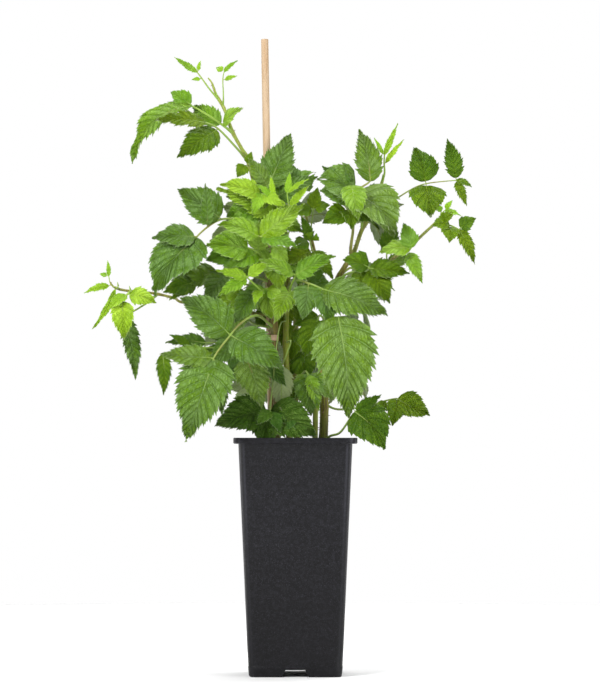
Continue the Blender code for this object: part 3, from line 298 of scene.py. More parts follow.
# Leaves deeper inside the plant, in the same form, each on one of the canes or shoots.
INNER_LEAVES = [
    ("inner_leaf_low_right", "cane_back", "mature", (0.1, -0.9, 0.4),
     [(1, 25, 262), (8, 4, 272), (11, -14, 270)], ((14, -24, 232), 26, 4),
     [(2, (34, -18, 246), 18, 3), (2, (-6, -20, 244), 16, 3)]),
    ("inner_leaf_middle_right", "cane_right", "olive", (0.1, -0.9, 0.4),
     [(27, -1, 318), (22, -14, 322), (20, -24, 318)], ((8, -30, 284), 24, 4),
     [(2, (36, -32, 290), 22, 3), (1, (-2, -20, 312), 16, 3)]),
    ("inner_leaf_middle_left", "cane_left", "mature", (-0.1, -0.9, 0.4),
     [(-20, -7.6, 322), (-34, -10, 328), (-48, -14, 328)], ((-88, -20, 338), 22, 4),
     [(2, (-60, -22, 300), 20, 3), (2, (-62, -16, 350), 20, 3)]),
    ("inner_leaf_upper_left", "cane_centre", "fresh", (-0.1, -0.9, 0.4),
     [(-9, 1, 398), (-18, -8, 406), (-28, -14, 410)], ((-64, -20, 400), 28, 4),
     [(2, (-46, -18, 434), 20, 3), (2, (-30, -20, 380), 22, 3)]),
    ("inner_leaf_centre", "cane_back", "mature", FRONT,
     [(4, 30.5, 346), (6, 10, 356), (10, -6, 352)], ((34, -14, 332), 24, 4),
     [(2, (28, -12, 372), 20, 3), (2, (-4, -12, 366), 20, 3)]),
    ("inner_leaf_top", "cane_centre", "mature", FRONT,
     [(-14, -2.5, 416), (-6, -8, 428), (2, -12, 436)], ((18, -16, 450), 22, 3),
     [(2, (-10, -14, 460), 18, 3), (1, (-34, -12, 452), 20, 3)]),
    ("inner_leaf_behind_star", "cane_centre", "fresh", FRONT,
     [(-6.6, 3, 368), (-21, -10, 374), (-18, -14, 371)], ((5, -20, 364), 24, 4),
     [(2, (-44, -18, 365), 24, 3), (2, (-14, -22, 344), 22, 3)]),
    ("inner_leaf_below_young", "cane_left", "fresh", FRONT,
     [(-20.5, -7.6, 326), (-28, -15, 338), (-26, -19, 346)], ((-21, -27, 318), 24, 4),
     [(2, (-50, -24, 330), 20, 3), (2, (-4, -24, 334), 20, 3)]),
    ("inner_leaf_left_of_young", "cane_left", "fresh", FRONT,
     [(-19.9, -7.6, 318), (-39, -16, 333), (-50, -18, 340)], ((-68, -24, 320), 24, 4),
     [(2, (-42, -26, 316), 20, 3), (2, (-66, -20, 346), 18, 3)]),
    ("inner_leaf_high_middle", "cane_centre", "fresh", FRONT,
     [(-8.1, 1.7, 388), (-28, -8, 407), (-30, -12, 418)], ((-62, -18, 410), 27, 4),
     [(2, (7, -20, 396), 26, 3), (2, (-44, -18, 396), 22, 3)]),
    ("inner_young_leaf", "cane_centre", "young", FRONT,
     [(-10.5, 0, 404), (-28, -14, 421), (-30, -24, 430)], ((-38, -32, 411), 12, 2),
     [(2, (-67, -30, 438), 19, 3), (2, (-10, -30, 418), 12, 3)]),
    ("inner_leaf_right", "cane_right", "mature", FRONT,
     [(60, -0.5, 400), (60, -8, 430), (69, -10, 430)], ((89, -14, 391), 22, 4),
     [(1, (92, -12, 430), 18, 3), (2, (69, -12, 403), 16, 3)]),
    ("inner_leaf_left", "cane_left", "olive", FRONT,
     [(-21.8, -7.6, 344), (-52, -14, 351), (-80, -18, 352), (-89, -20, 351)], ((-118, -24, 342), 20, 4),
     [(2, (-100, -22, 360), 13, 3), (3, (-113, -20, 335), 11, 3)]),
    ("inner_leaf_low_left", "cane_left", "dark", FRONT,
     [(-18, -7.5, 284), (-50, -16, 297), (-80, -22, 297)], ((-116, -26, 297), 14, 2),
     [(1, (-84, -24, 306), 9, 2), (1, (-86, -26, 288), 12, 2)]),
    ("inner_leaf_low_centre", "cane_back", "olive", FRONT,
     [(2.5, 28, 300), (2, 14, 312), (-2, 12, 310)], ((-4, 8, 282), 22, 3),
     [(1, (16, 10, 290), 20, 3), (1, (-20, 10, 300), 16, 3)]),
    ("inner_leaf_right_tip", "side_shoot_far_right", "olive", (0.1, -0.9, 0.4),
     [(124, -14, 403), (130, -22, 405), (137, -24, 404)], ((122, -28, 401), 14, 2),
     [(1, (142, -28, 413), 10, 2)]),
    ("inner_leaf_low_front", "cane_centre", "dark", FRONT,
     [(-8.2, 4.4, 318), (-14, -18, 312), (-18, -32, 282), (-21, -40, 250), (-22, -44, 236)],
     ((-34, -50, 224), 12, 2),
     [(4, (-13, -48, 217), 12, 2)]),
    ("inner_leaf_left_upper", "cane_left", "fresh", FRONT,
     [(-24.5, -7.6, 371), (-40, -14, 378), (-50, -18, 380)], ((-80, -22, 371), 24, 3),
     [(1, (-66, -22, 361), 18, 3)]),
    ("inner_leaf_high_right", "side_shoot_top_right", "mature", FRONT,
     [(51.5, -6, 421), (50, -12, 428), (50, -15, 431)], ((22, -20, 433), 28, 3),
     [(1, (24, -22, 455), 20, 3)]),
    ("inner_leaf_high_back", "cane_back", "olive", FRONT,
     [(2.6, 29, 335), (-5, 14, 338), (-12, 10, 334)], ((-36, 6, 310), 24, 4),
     [(2, (-10, 8, 304), 20, 3), (1, (6, 8, 314), 16, 3)]),
    ("inner_leaf_low_back", "cane_back", "olive", FRONT,
     [(-0.5, 25.5, 285), (3, 18, 292), (6, 15, 290)], ((10, 12, 262), 24, 3),
     [(1, (-4, 14, 268), 16, 3)]),
    ("inner_leaf_soil", "cane_centre", "dark", FRONT,
     [(-8.7, 6, 232), (-4, -16, 236), (-2, -32, 234)], ((-14, -44, 215), 18, 3),
     [(2, (9, -44, 215), 16, 3)]),
    ("inner_leaf_behind_left", "cane_left", "mature", FRONT,
     [(-18.4, -7.6, 302), (-40, -20, 308), (-50, -26, 300)], ((-76, -34, 276), 22, 3),
     [(2, (-58, -34, 272), 18, 3)]),
    ("inner_leaf_sheath", "young_shoot", "fresh", (0.2, -0.9, 0.3),
     [(17.5, -10, 246), (13, -16, 262), (12, -18, 268)], ((21, -24, 236), 13, 2),
     [(1, (5, -22, 240), 10, 2)]),
    ("inner_leaf_bright_drop", "side_shoot_top_right", "fresh", FRONT,
     [(52, -8, 418), (50, -20, 430), (50, -30, 437)], ((56, -48, 405), 22, 4),
     [(1, (38, -30, 424), 12, 2)]),
    ("inner_side_leaf_left_high", "cane_centre", "mature", (-0.8, 0.2, 0.55),
     [(-7.5, 3.5, 350), (-24, 12, 362), (-40, 17, 362)], ((-60, 20, 330), 30, 4),
     [(1, (-34, 38, 336), 24, 4), (1, (-38, -6, 338), 22, 4)]),
    ("inner_side_leaf_left_low", "cane_left", "mature", (-0.8, 0.1, 0.55),
     [(-18.6, -7.5, 288), (-33, 5, 296), (-47, 13, 293)], ((-64, 16, 258), 31, 4),
     [(1, (-40, 38, 268), 25, 4), (1, (-50, -10, 272), 22, 3)]),
    ("inner_side_leaf_right_low", "cane_right", "olive", (0.8, 0.1, 0.55),
     [(25.6, 0, 262), (40, 11, 273), (50, 18, 271)], ((64, 24, 242), 31, 4),
     [(1, (40, 42, 262), 24, 4)]),
    ("inner_side_leaf_right_middle", "cane_right", "mature", (0.8, 0.15, 0.5),
     [(29, -1.5, 328), (43, 9, 338), (54, 16, 336)], ((66, 22, 304), 30, 4),
     [(1, (48, 42, 312), 25, 4)]),
    ("inner_side_leaf_back_left", "cane_back", "dark", (-0.75, 0.35, 0.55),
     [(4.5, 31.5, 352), (-8, 38, 364), (-20, 42, 363)], ((-44, 46, 336), 30, 4),
     [(1, (-14, 68, 340), 24, 4), (1, (-24, 18, 338), 22, 3)]),
    ("inner_side_leaf_right_high", "cane_right", "olive", (0.8, 0.3, 0.5),
     [(61.5, -0.2, 402), (66, 12, 410), (71, 22, 408)], ((80, 28, 380), 23, 3),
     [(1, (74, 44, 402), 20, 3)]),
    ("inner_side_leaf_top_left", "cane_left", "mature", (-0.8, 0.3, 0.5),
     [(-31, -7, 412), (-40, 6, 420), (-48, 14, 418)], ((-60, 18, 394), 24, 3),
     [(1, (-46, 34, 398), 20, 3)]),
]


def linear(*steps):
    """A colour given in the usual 0 to 255 display steps, as linear light."""
    shares = [step / 255 for step in steps]
    return tuple(part / 12.92 if part <= 0.04045 else ((part + 0.055) / 1.055) ** 2.4 for part in shares)


def shade(colour, share, lift=0.0):
    """A colour made darker or lighter by a share, and lifted by an even amount."""
    return tuple(min(1.0, part * share + lift) for part in colour)


def blend(first, share, second):
    """So much of the first colour, and the rest of the second."""
    return tuple(share * one + (1 - share) * other for one, other in zip(first, second))


def colour_property(name, description, default):
    return bpy.props.FloatVectorProperty(
        name=name, description=description, subtype="COLOR", size=3, min=0.0, max=1.0, default=default
    )


def length_property(name, description, default):
    return bpy.props.FloatProperty(
        name=name,
        description=description,
        subtype="DISTANCE",
        unit="LENGTH",
        min=0.0,
        default=default,
        precision=5,
    )


def share_property(name, description, default, top=1.0):
    return bpy.props.FloatProperty(
        name=name, description=description, subtype="FACTOR", min=0.0, max=top, default=default
    )


def power_property(name, description, default):
    return bpy.props.FloatProperty(name=name, description=description, unit="POWER", default=default)


class RaspberryFoliage(bpy.types.PropertyGroup):
    """Colours and sizes of the leaves."""

    young: colour_property("Young", "Upper side of the unfolding leaves", linear(150, 196, 30))
    fresh: colour_property("Fresh", "Upper side of the new full leaves", linear(133, 179, 14))
    mature: colour_property("Mature", "Upper side of the grown leaves", linear(112, 151, 28))
    olive: colour_property("Olive", "Upper side of the older yellowish leaves", linear(97, 134, 2))
    dark: colour_property("Dark", "Upper side of the shaded leaves", linear(70, 111, 20))
    underside: colour_property("Underside", "Felted lower side of the leaves", linear(154, 167, 126))
    stalk: colour_property("Stalk", "Leaf stalks", linear(148, 172, 84))
    blush: colour_property("Blush", "Sunlit side of the leaf stalks", linear(150, 110, 72))
    thickness: length_property("Blade Thickness", "Thickness of a leaf blade", 0.00035)
    main_tooth: share_property("Main Tooth", "Main tooth against the leaflet's length", 0.052, 0.2)
    minor_tooth: share_property("Minor Tooth", "Minor tooth against the leaflet's length", 0.03, 0.2)
    quilting: share_property("Quilting", "Swell between the veins against the leaflet's length", 0.021, 0.2)
    ruffle: share_property("Ruffle", "Wave of the margin against the leaflet's length", 0.03, 0.2)
    twist: bpy.props.FloatProperty(
        name="Twist", description="Largest twist of a leaflet", subtype="ANGLE", unit="ROTATION", default=0.28
    )
    seed: bpy.props.IntProperty(name="Seed", description="Picks how the leaflets differ", default=7)


class RaspberryStems(bpy.types.PropertyGroup):
    """Colours and sizes of the canes and their prickles."""

    bark: colour_property("Bark", "Ripe canes", linear(124, 108, 44))
    bark_dark: colour_property("Bark Streaks", "Dark streaks of the ripe canes", linear(80, 66, 34))
    olive: colour_property("Olive Cane", "Canes still turning woody", linear(130, 130, 36))
    green: colour_property("Green Cane", "This year's shoots", linear(136, 150, 48))
    prickle: colour_property("Prickle", "Prickles", linear(120, 70, 46))
    spacing: length_property("Ring Spacing", "Distance between the rings of a stem", 0.0025)
    knobs: length_property("Knobbliness", "Height of the lumps on a cane", 0.0006)
    prickle_length: length_property("Prickle Length", "Length of the longest prickles", 0.0019)
    prickle_gap: length_property("Prickle Gap", "Least distance between two prickles", 0.0042)
    seed: bpy.props.IntProperty(name="Seed", description="Places the prickles", default=11)


class RaspberryPot(bpy.types.PropertyGroup):
    """Colours and sizes of the pot, soil, stake and tie."""

    plastic: colour_property("Plastic", "Grained black plastic", linear(5, 5, 8))
    # The scuff colour is also the colour of the painted highlight along the pot's upright edges.
    plastic_dust_and_highlight: colour_property("Worn Plastic", "Scuffed and dusty plastic", linear(82, 82, 92))
    soil: colour_property("Soil", "Moist potting soil", linear(58, 42, 30))
    soil_light: colour_property("Dry Soil", "Dry crumbs and fibres", linear(118, 92, 66))
    perlite: colour_property("Perlite", "Pale grains in the soil", linear(222, 218, 206))
    wood: colour_property("Wood", "Turned wood of the stake", linear(188, 166, 138))
    wood_grain: colour_property("Wood Grain", "Grain lines of the stake", linear(166, 132, 94))
    tie: colour_property("Tie", "Soft band round stake and cane", linear(186, 156, 128))
    edge: length_property("Edge Rounding", "Rounding of the pot's edges", 0.0004)
    fine_edge: length_property("Fine Rounding", "Rounding of the stake's and the tie's edges", 0.0003)
    crumb: length_property("Crumb Size", "Radius of the largest crumbs", 0.0024)
    crumb_gap: length_property("Crumb Gap", "Least distance between two crumbs", 0.0026)
    seed: bpy.props.IntProperty(name="Seed", description="Places the crumbs", default=3)


class RaspberryStage(bpy.types.PropertyGroup):
    """The floor, the light and the camera."""

    floor: colour_property("Floor", "Pale floor", linear(246, 246, 246))
    floor_radius: length_property("Floor Radius", "Radius of the floor", 1.3)
    distance: length_property("Camera Distance", "From the camera to the stake", 3.0)
    eye_height: length_property("Eye Height", "Height of the camera", 0.212)
    across: length_property("Camera Offset", "How far right of the middle the camera stands", 0.0175)
    lens: bpy.props.FloatProperty(name="Lens", description="Focal length in millimetres", default=200.0)
    rise: bpy.props.FloatProperty(name="Rise", description="Upward shift of the lens", default=0.147)
    ceiling: share_property("Ceiling", "Light of the studio ceiling against its walls", 0.3)
    key: power_property("Key", "Power of the main lamp", 64.0)
    fill: power_property("Fill", "Power of the side lamp", 24.0)
    top: power_property("Top", "Power of the upper lamp", 34.0)


# Each lamp's power setting, the side of its square and its place, in metres. All aim at the plant's middle.
LAMPS = (("key", 1.1, (-1.3, -1.7, 1.5)), ("fill", 1.4, (1.8, -1.2, 0.9)), ("top", 1.2, (0.3, 0.5, 2.0)))
PLANT_MIDDLE = Vector((0, 0, 0.3))

# Casts over the bark of the canes and over the tie.
MOSSY = linear(112, 128, 62)
YOUNG_WOOD = linear(142, 158, 62)
PORE = linear(176, 150, 108)
WEATHERED = linear(168, 158, 138)
SOILED = linear(120, 104, 84)


# ---------------------------------------------------------------- node trees


def feed(tree, socket, value):
    """Link an output to a socket, or set the socket's own value."""
    if isinstance(value, bpy.types.NodeSocket):
        tree.links.new(value, socket)
    elif socket.type == "RGBA" and len(value) == 3:
        socket.default_value = (*value, 1.0)
    else:
        socket.default_value = value


def add_node(tree, kind, settings=None, places=None, **sockets):
    """A node with its settings, and with its sockets fed by place or by name."""
    made = tree.nodes.new(kind)
    for key, value in (settings or {}).items():
        setattr(made, key, value)
    for place, value in (places or {}).items():
        feed(tree, made.inputs[place], value)
    for key, value in sockets.items():
        feed(tree, made.inputs[key.replace("_", " ")], value)
    return made


def add_math(tree, operation, *values):
    """The result of a calculation on numbers."""
    return add_node(tree, "ShaderNodeMath", {"operation": operation}, dict(enumerate(values))).outputs[0]


def add_ease(tree, value, low, high, start=0.0, end=1.0):
    """A value that turns softly from start at low to end at high."""
    soft = {"interpolation_type": "SMOOTHSTEP"}
    limits = {"From Min": low, "From Max": high, "To Min": start, "To Max": end, "Value": value}
    return add_node(tree, "ShaderNodeMapRange", soft, limits).outputs["Result"]


class Shader:
    """A material's node tree, with short ways to add and join its nodes."""

    def __init__(self, name):
        self.material = bpy.data.materials.new(name)
        self.material.use_nodes = True
        self.tree = self.material.node_tree
        self.tree.nodes.clear()
        self.output = self.node("OutputMaterial")
        self.surface = self.node("BsdfPrincipled")
        self.feed(self.output.inputs["Surface"], self.surface.outputs["BSDF"])

    def node(self, kind, settings=None, places=None, **sockets):
        return add_node(self.tree, "ShaderNode" + kind, settings, places, **sockets)

    def feed(self, socket, value):
        feed(self.tree, socket, value)

    def math(self, operation, *values):
        return add_math(self.tree, operation, *values)

    def absolute(self, value):
        return self.math("ABSOLUTE", value)

    def minus(self, first, second):
        return self.math("SUBTRACT", first, second)

    def times(self, first, *others):
        for value in others:
            first = self.math("MULTIPLY", first, value)
        return first

    def plus(self, first, *others):
        for value in others:
            first = self.math("ADD", first, value)
        return first

    def most(self, first, second):
        return self.math("MAXIMUM", first, second)

    def least(self, first, second):
        return self.math("MINIMUM", first, second)

    def scaled(self, value, factor, shift):
        return self.math("MULTIPLY_ADD", value, factor, shift)

    def ease(self, value, low, high, start=0.0, end=1.0):
        return add_ease(self.tree, value, low, high, start, end)

    def paint(self, skin, *coats):
        """Lay coats over a colour, each a (share, colour), the first one lowest."""
        for share, colour in coats:
            mixed = self.node("Mix", {"data_type": "RGBA"}, {0: share, 6: skin, 7: colour})
            skin = mixed.outputs[2]
        return skin

    def place(self, scale=(1.0, 1.0, 1.0)):
        """The piece's own coordinates, stretched by a scale."""
        spot = self.node("TexCoord").outputs["Object"]
        return self.node("Mapping", Vector=spot, Scale=scale).outputs["Vector"]

    def axes(self, vector):
        return self.node("SeparateXYZ", Vector=vector).outputs

    def attribute(self, name):
        return self.node("Attribute", {"attribute_name": name}).outputs["Fac"]

    def noise(self, where, scale, detail=3.0, roughness=0.55, distortion=0.0):
        grain = {"Scale": scale, "Detail": detail, "Roughness": roughness, "Distortion": distortion}
        return self.node("TexNoise", Vector=where, **grain).outputs["Fac"]

    def cells(self, where, scale, feature="DISTANCE_TO_EDGE"):
        """Distance in a pattern of cells, from their edges or from their middles."""
        made = self.node("TexVoronoi", {"feature": feature}, Vector=where, Scale=scale)
        return made.outputs["Distance"]

    def bump(self, height, distance, strength=1.0):
        """Relief on the surface, a distance in metres deep."""
        made = self.node("Bump", Height=height, Distance=distance, Strength=strength)
        self.feed(self.surface.inputs["Normal"], made.outputs["Normal"])

    def finish(self, colour, roughness, **constants):
        """Set what the surface still needs, and give the material back."""
        sockets = {"Base_Color": colour, "Roughness": roughness, **constants}
        for key, value in sockets.items():
            self.feed(self.surface.inputs[key.replace("_", " ")], value)
        return self.material

    def see_through(self, share, colour):
        """Let some light pass through to the other side, as a thin leaf does."""
        glow = self.node("BsdfTranslucent", Color=colour).outputs["BSDF"]
        both = self.node("MixShader", None, {0: share, 1: self.surface.outputs["BSDF"], 2: glow})
        self.feed(self.output.inputs["Surface"], both.outputs["Shader"])


# ---------------------------------------------------------------- materials


def vein_masks(shader):
    """Masks of a blade's midrib, lateral veins and fine net, from its own map and place."""
    parts = shader.axes(shader.node("TexCoord").outputs["UV"])
    from_rib = shader.absolute(shader.scaled(parts["X"], 2.0, -1.0))
    midrib = shader.ease(from_rib, 0.012, 0.05, 1.0, 0.0)
    wobble = shader.scaled(shader.noise(shader.place(), 210.0, 2.0), 0.16, -0.08)
    along = shader.plus(parts["Y"], shader.times(wobble, from_rib))
    turn = shader.math("FRACT", shader.plus(along, 1.5 - VEIN_PLACE))
    from_vein = shader.absolute(shader.minus(turn, 0.5))
    reach = shader.scaled(from_rib, -0.045, 0.09)
    vein = shader.ease(shader.math("DIVIDE", from_vein, reach), 0.3, 1.0, 1.0, 0.0)
    trough = shader.ease(from_vein, 0.05, 0.24, 1.0, 0.0)

    # Small cross veins part the skin between two laterals into puckered fields.
    fields = shader.node("CombineXYZ", X=shader.times(from_rib, 6.0), Y=along).outputs["Vector"]
    net = shader.minus(1.0, shader.ease(shader.cells(fields, 2.1), 0.0, 0.28))
    return from_rib, midrib, vein, trough, net


def tinted(shader, colour):
    """Each leaflet's own slight lightness and hue."""
    tint = shader.attribute("tint")
    value = shader.scaled(tint, 0.17, 1.0)
    hue = shader.scaled(tint, -0.012, 0.5)
    made = shader.node("HueSaturation", Hue=hue, Value=value, Saturation=1.0, Color=colour)
    return made.outputs["Color"]


def blade_material(name, colour, age, pale_blue):
    """Upper side of a blade: sunken veins and quilted skin, with painted shade in the creases and painted
    highlights on the ridges and crinkles. Age runs from 0 to 1.
    """
    shader = Shader(name)
    from_rib, midrib, vein, trough, net = vein_masks(shader)
    red, green, blue = colour
    # Deep is the colour of the random dark patches and of the painted shade in the creases.
    deep = (red * 0.3, green * 0.4, 0.0)
    # Pale is the colour of the veins and the margin, and of the painted highlights on the crinkles and
    # ridges.
    pale = (min(1, red * 1.5 + 0.06), min(1, green * 1.35 + 0.06), blue * 1.8 + pale_blue)
    bright = (min(1, red * 1.7), min(1, green * 1.6), 0.0)

    where = shader.place()

    # Small leaflets are smoother, so their veins, painted highlights and painted crease shade fade with their
    # span.
    span = shader.attribute("span")
    clear = shader.least(1.0, shader.times(span, 3.0))
    patches = shader.ease(shader.noise(where, 60.0, 4.0), 0.32, 0.68)
    # Fine crinkles: real relief in the bump, and a painted highlight where they are coated pale.
    crinkle_glints = shader.ease(shader.noise(where, 460.0, 2.0, 0.6), 0.44, 0.64)
    # Sheen: patches of painted highlight on the ridges between the veins.
    sheen = shader.times(shader.ease(shader.noise(where, 75.0, 3.0), 0.4, 0.62), clear)
    ribs = shader.most(midrib, shader.times(vein, 0.6))
    margin = shader.ease(from_rib, 0.9, 1.0, 0.0, 0.35 * (1.0 - age) + 0.1)
    skin = shader.paint(
        colour,
        (shader.times(patches, 0.5), deep),
        (shader.times(crinkle_glints, 0.2 + 0.2 * age), pale),
        (shader.times(sheen, shader.minus(1.0, trough), 0.45), pale),
        # Painted shade in the sunken creases along the lateral veins and round the puckered fields.
        (shader.times(trough, clear, 0.34 + 0.3 * age), deep),
        (shader.times(net, 0.2 + 0.36 * age), deep),
        (shader.times(ribs, clear, 0.66), pale),
        (margin, pale),
    )
    skin = tinted(shader, skin)
    dips = shader.plus(midrib, shader.times(trough, 0.45), shader.times(net, 0.8))
    height = shader.minus(shader.times(crinkle_glints, 0.3), dips)
    shader.bump(shader.times(height, shader.least(1.0, span)), 0.0012)
    shader.see_through(0.2, shader.paint(skin, (0.5, bright)))
    rough = shader.ease(shader.noise(where, 160.0, 2.0), 0.3, 0.7, 0.36, 0.52)
    return shader.finish(skin, rough, Specular_IOR_Level=0.32 - 0.14 * age)


def underside_material(name, colour, upper):
    """Lower side of a blade: pale felt with raised veins."""
    shader = Shader(name)
    _rib, midrib, vein, trough, net = vein_masks(shader)
    felt = blend(colour, 0.66, upper)
    deep = shade(felt, 0.72)
    where = shader.place()
    ribs = shader.most(shader.most(midrib, shader.times(vein, 0.8)), shader.times(net, 0.35))
    skin = shader.paint(
        felt,
        (shader.times(shader.noise(where, 70.0), 0.5), deep),
        (shader.times(trough, 0.25), deep),
        (shader.times(ribs, 0.75), shade(felt, 1.25, 0.03)),
    )
    skin = tinted(shader, skin)
    fuzz = shader.noise(where, 2600.0, 2.0)
    shader.bump(shader.plus(ribs, shader.times(fuzz, 0.12)), 0.0005, 0.8)
    shader.see_through(0.16, skin)
    return shader.finish(skin, 0.78, Specular_IOR_Level=0.25, Sheen_Weight=0.25, Sheen_Roughness=0.5)


def stalk_material(name, colour, blush):
    """Downy green stalk with a reddish flush here and there."""
    shader = Shader(name)
    where = shader.place()
    flush = shader.ease(shader.noise(where, 34.0, 3.0), 0.5, 0.72, 0.0, 0.6)
    lines = shader.noise(shader.place((1.0, 1.0, 0.2)), 900.0, 2.0)
    skin = shader.paint(colour, (flush, blush), (shader.times(lines, 0.35), shade(colour, 0.62)))
    shader.bump(shader.noise(where, 2200.0, 2.0), 0.00012, 0.6)
    shader.see_through(0.1, skin)
    return shader.finish(skin, 0.5, Specular_IOR_Level=0.4, Sheen_Weight=0.1, Sheen_Roughness=0.4)


def bark_material(name, light, dark, green_share):
    """Cane skin with streaks along the stem, small pores and a green cast."""
    shader = Shader(name)
    along = shader.place((1.0, 1.0, 0.07))
    streaks = shader.ease(shader.noise(along, 620.0, 4.0, 0.6, 0.4), 0.36, 0.66)
    where = shader.place()
    cast = shader.ease(shader.noise(where, 26.0, 3.0), 0.4, 0.66, 0.0, green_share)
    rise = shader.axes(where)["Z"]
    fresh = shader.times(shader.ease(rise, 0.35, 0.46), shader.ease(streaks, 0.0, 1.0, 0.95, 0.7))
    pores = shader.ease(shader.cells(shader.place((1.0, 1.0, 0.45)), 420.0, "F1"), 0.12, 0.22, 1.0, 0.0)
    grey = shader.ease(shader.noise(along, 240.0, 2.0), 0.6, 0.76, 0.0, 0.4)
    skin = shader.paint(
        light,
        (streaks, dark),
        (cast, MOSSY),
        (fresh, YOUNG_WOOD),
        (shader.times(pores, 0.5), PORE),
        (grey, WEATHERED),
    )
    shader.bump(shader.plus(streaks, shader.times(pores, 0.5)), 0.0003, 0.7)
    return shader.finish(skin, shader.ease(streaks, 0.0, 1.0, 0.52, 0.7), Specular_IOR_Level=0.35)


def corner_highlight(shader):
    """A painted highlight: a paler band just inside the pot's four upright edges, where their rounding
    catches the lamp.
    """
    parts = shader.axes(shader.place())
    across = shader.absolute(shader.minus(parts["X"], AXIS_X * MM))
    deep = shader.absolute(shader.minus(parts["Y"], AXIS_Y * MM))
    share = shader.math("DIVIDE", shader.least(across, deep), shader.most(across, deep))
    inside, outside = shader.ease(share, 0.88, 0.93), shader.ease(share, 0.945, 0.985, 1.0, 0.0)
    return shader.times(inside, outside, shader.ease(parts["Z"], 0.1, 0.2, 0.35, 1.0))


def plastic_material(name, colour, dust_and_highlight):
    """Black moulded plastic with a fine leathery grain, faint flow marks and dusty scuffs, a painted
    highlight along its upright edges and painted shade towards its foot.
    """
    shader = Shader(name)
    where = shader.place()
    grain = shader.noise(where, 620.0, 3.0, 0.65)
    pebbles = shader.cells(where, 900.0, "SMOOTH_F1")
    speck = shader.ease(shader.noise(where, 1500.0, 1.0), 0.58, 0.74)
    cloud = shader.ease(shader.noise(where, 14.0, 4.0), 0.35, 0.7)
    mottle = shader.ease(shader.noise(where, 330.0, 2.0), 0.4, 0.7)
    smear = shader.ease(shader.noise(shader.place((1.0, 1.0, 0.12)), 90.0, 4.0), 0.62, 0.78, 0.0, 0.08)
    # Painted shade: the plastic is mixed with black towards the pot's foot.
    foot = shader.ease(shader.axes(where)["Z"], 0.0, 0.15, 0.45, 0.0)
    skin = shader.paint(
        colour,
        (shader.times(cloud, 0.03), dust_and_highlight),
        (shader.times(mottle, 0.06), dust_and_highlight),
        (shader.times(speck, 0.3), dust_and_highlight),
        # Painted highlight along the pot's upright edges, in the scuff colour.
        (shader.times(corner_highlight(shader), 0.2), dust_and_highlight),
        (smear, dust_and_highlight),
        (foot, (0.0, 0.0, 0.0)),
    )
    shader.bump(shader.plus(shader.times(grain, 0.7), shader.times(pebbles, 0.6)), 0.00028, 0.6)
    return shader.finish(skin, shader.ease(cloud, 0.0, 1.0, 0.34, 0.44), Specular_IOR_Level=0.2)


def soil_material(name, dark, light):
    """Moist peaty soil with fibres and dry specks."""
    shader = Shader(name)
    where = shader.place()
    lumps = shader.noise(where, 260.0, 5.0, 0.7)
    fibres = shader.ease(shader.noise(shader.place((1.0, 0.2, 1.0)), 900.0, 2.0, 0.5, 1.5), 0.6, 0.72)
    damp = shader.ease(shader.noise(where, 60.0), 0.5, 0.7, 0.0, 0.5)
    skin = shader.paint(
        dark,
        (shader.ease(lumps, 0.46, 0.74), light),
        (shader.times(fibres, 0.5), shade(light, 1.5)),
        (damp, shade(dark, 0.5)),
    )
    shader.bump(lumps, 0.0012)
    return shader.finish(skin, 0.92, Specular_IOR_Level=0.2)


def perlite_material(name, colour):
    """Porous white grain."""
    shader = Shader(name)
    holes = shader.ease(shader.cells(shader.place(), 1500.0, "F1"), 0.1, 0.4)
    # The pits are painted darker, as painted shade inside them.
    skin = shader.paint(shade(colour, 0.72), (holes, colour))
    shader.bump(holes, 0.0003, 0.8)
    return shader.finish(skin, 0.85)


def wood_material(name, light, dark):
    """Turned softwood with its grain along the stick and a few fine pores."""
    shader = Shader(name)
    rings = shader.noise(shader.place((1.0, 1.0, 0.035)), 420.0, 4.0, 0.6, 0.6)
    fine = shader.ease(shader.noise(shader.place((1.0, 1.0, 0.02)), 2300.0, 2.0), 0.52, 0.7)
    broad = shader.ease(shader.noise(shader.place((1.0, 1.0, 0.3)), 30.0), 0.4, 0.65, 0.0, 0.28)
    skin = shader.paint(
        light,
        (shader.ease(rings, 0.42, 0.7), dark),
        (shader.times(fine, 0.4), dark),
        (broad, shade(dark, 0.8)),
    )
    shader.bump(shader.plus(rings, fine), 0.0002, 0.5)
    return shader.finish(skin, shader.ease(rings, 0.3, 0.7, 0.6, 0.72), Specular_IOR_Level=0.3)


def tie_material(name, colour):
    """Soft matt foam band."""
    shader = Shader(name)
    where = shader.place()
    foam = shader.cells(where, 1400.0, "F1")
    # The foam's pores are painted darker, as painted shade in their hollows.
    hollow_shade = shader.ease(foam, 0.1, 0.5, 0.35, 0.0)
    soiled = shader.ease(shader.noise(where, 120.0), 0.5, 0.7, 0.0, 0.3)
    skin = shader.paint(colour, (hollow_shade, shade(colour, 0.6)), (soiled, SOILED))
    shader.bump(foam, 0.0003, 0.7)
    return shader.finish(skin, 0.75)


def floor_material(name, colour):
    """Plain pale floor with a barely seen fine tooth."""
    shader = Shader(name)
    tooth = shader.noise(shader.place(), 300.0, 2.0)
    skin = shader.paint(colour, (shader.times(tooth, 0.04), shade(colour, 0.95)))
    return shader.finish(skin, 0.8, Specular_IOR_Level=0.1)


# ---------------------------------------------------------------- shapes


def placed(points):
    """Plant millimetres to metres in the frame."""
    return (np.asarray(points, dtype=float) + (AXIS_X, AXIS_Y, 0.0)) * MM


def unit(vector):
    """The same way, one unit long."""
    return vector / max(1e-9, float(np.linalg.norm(vector)))


def square_to(hint, forward):
    """The part of a direction that lies square to another, or of a spare one where that is too short."""
    up = hint - forward * hint.dot(forward)
    if np.linalg.norm(up) < 0.15:
        spare = np.array((0.2, 0.3, 1.0))
        up = spare - forward * spare.dot(forward)
    return unit(up)


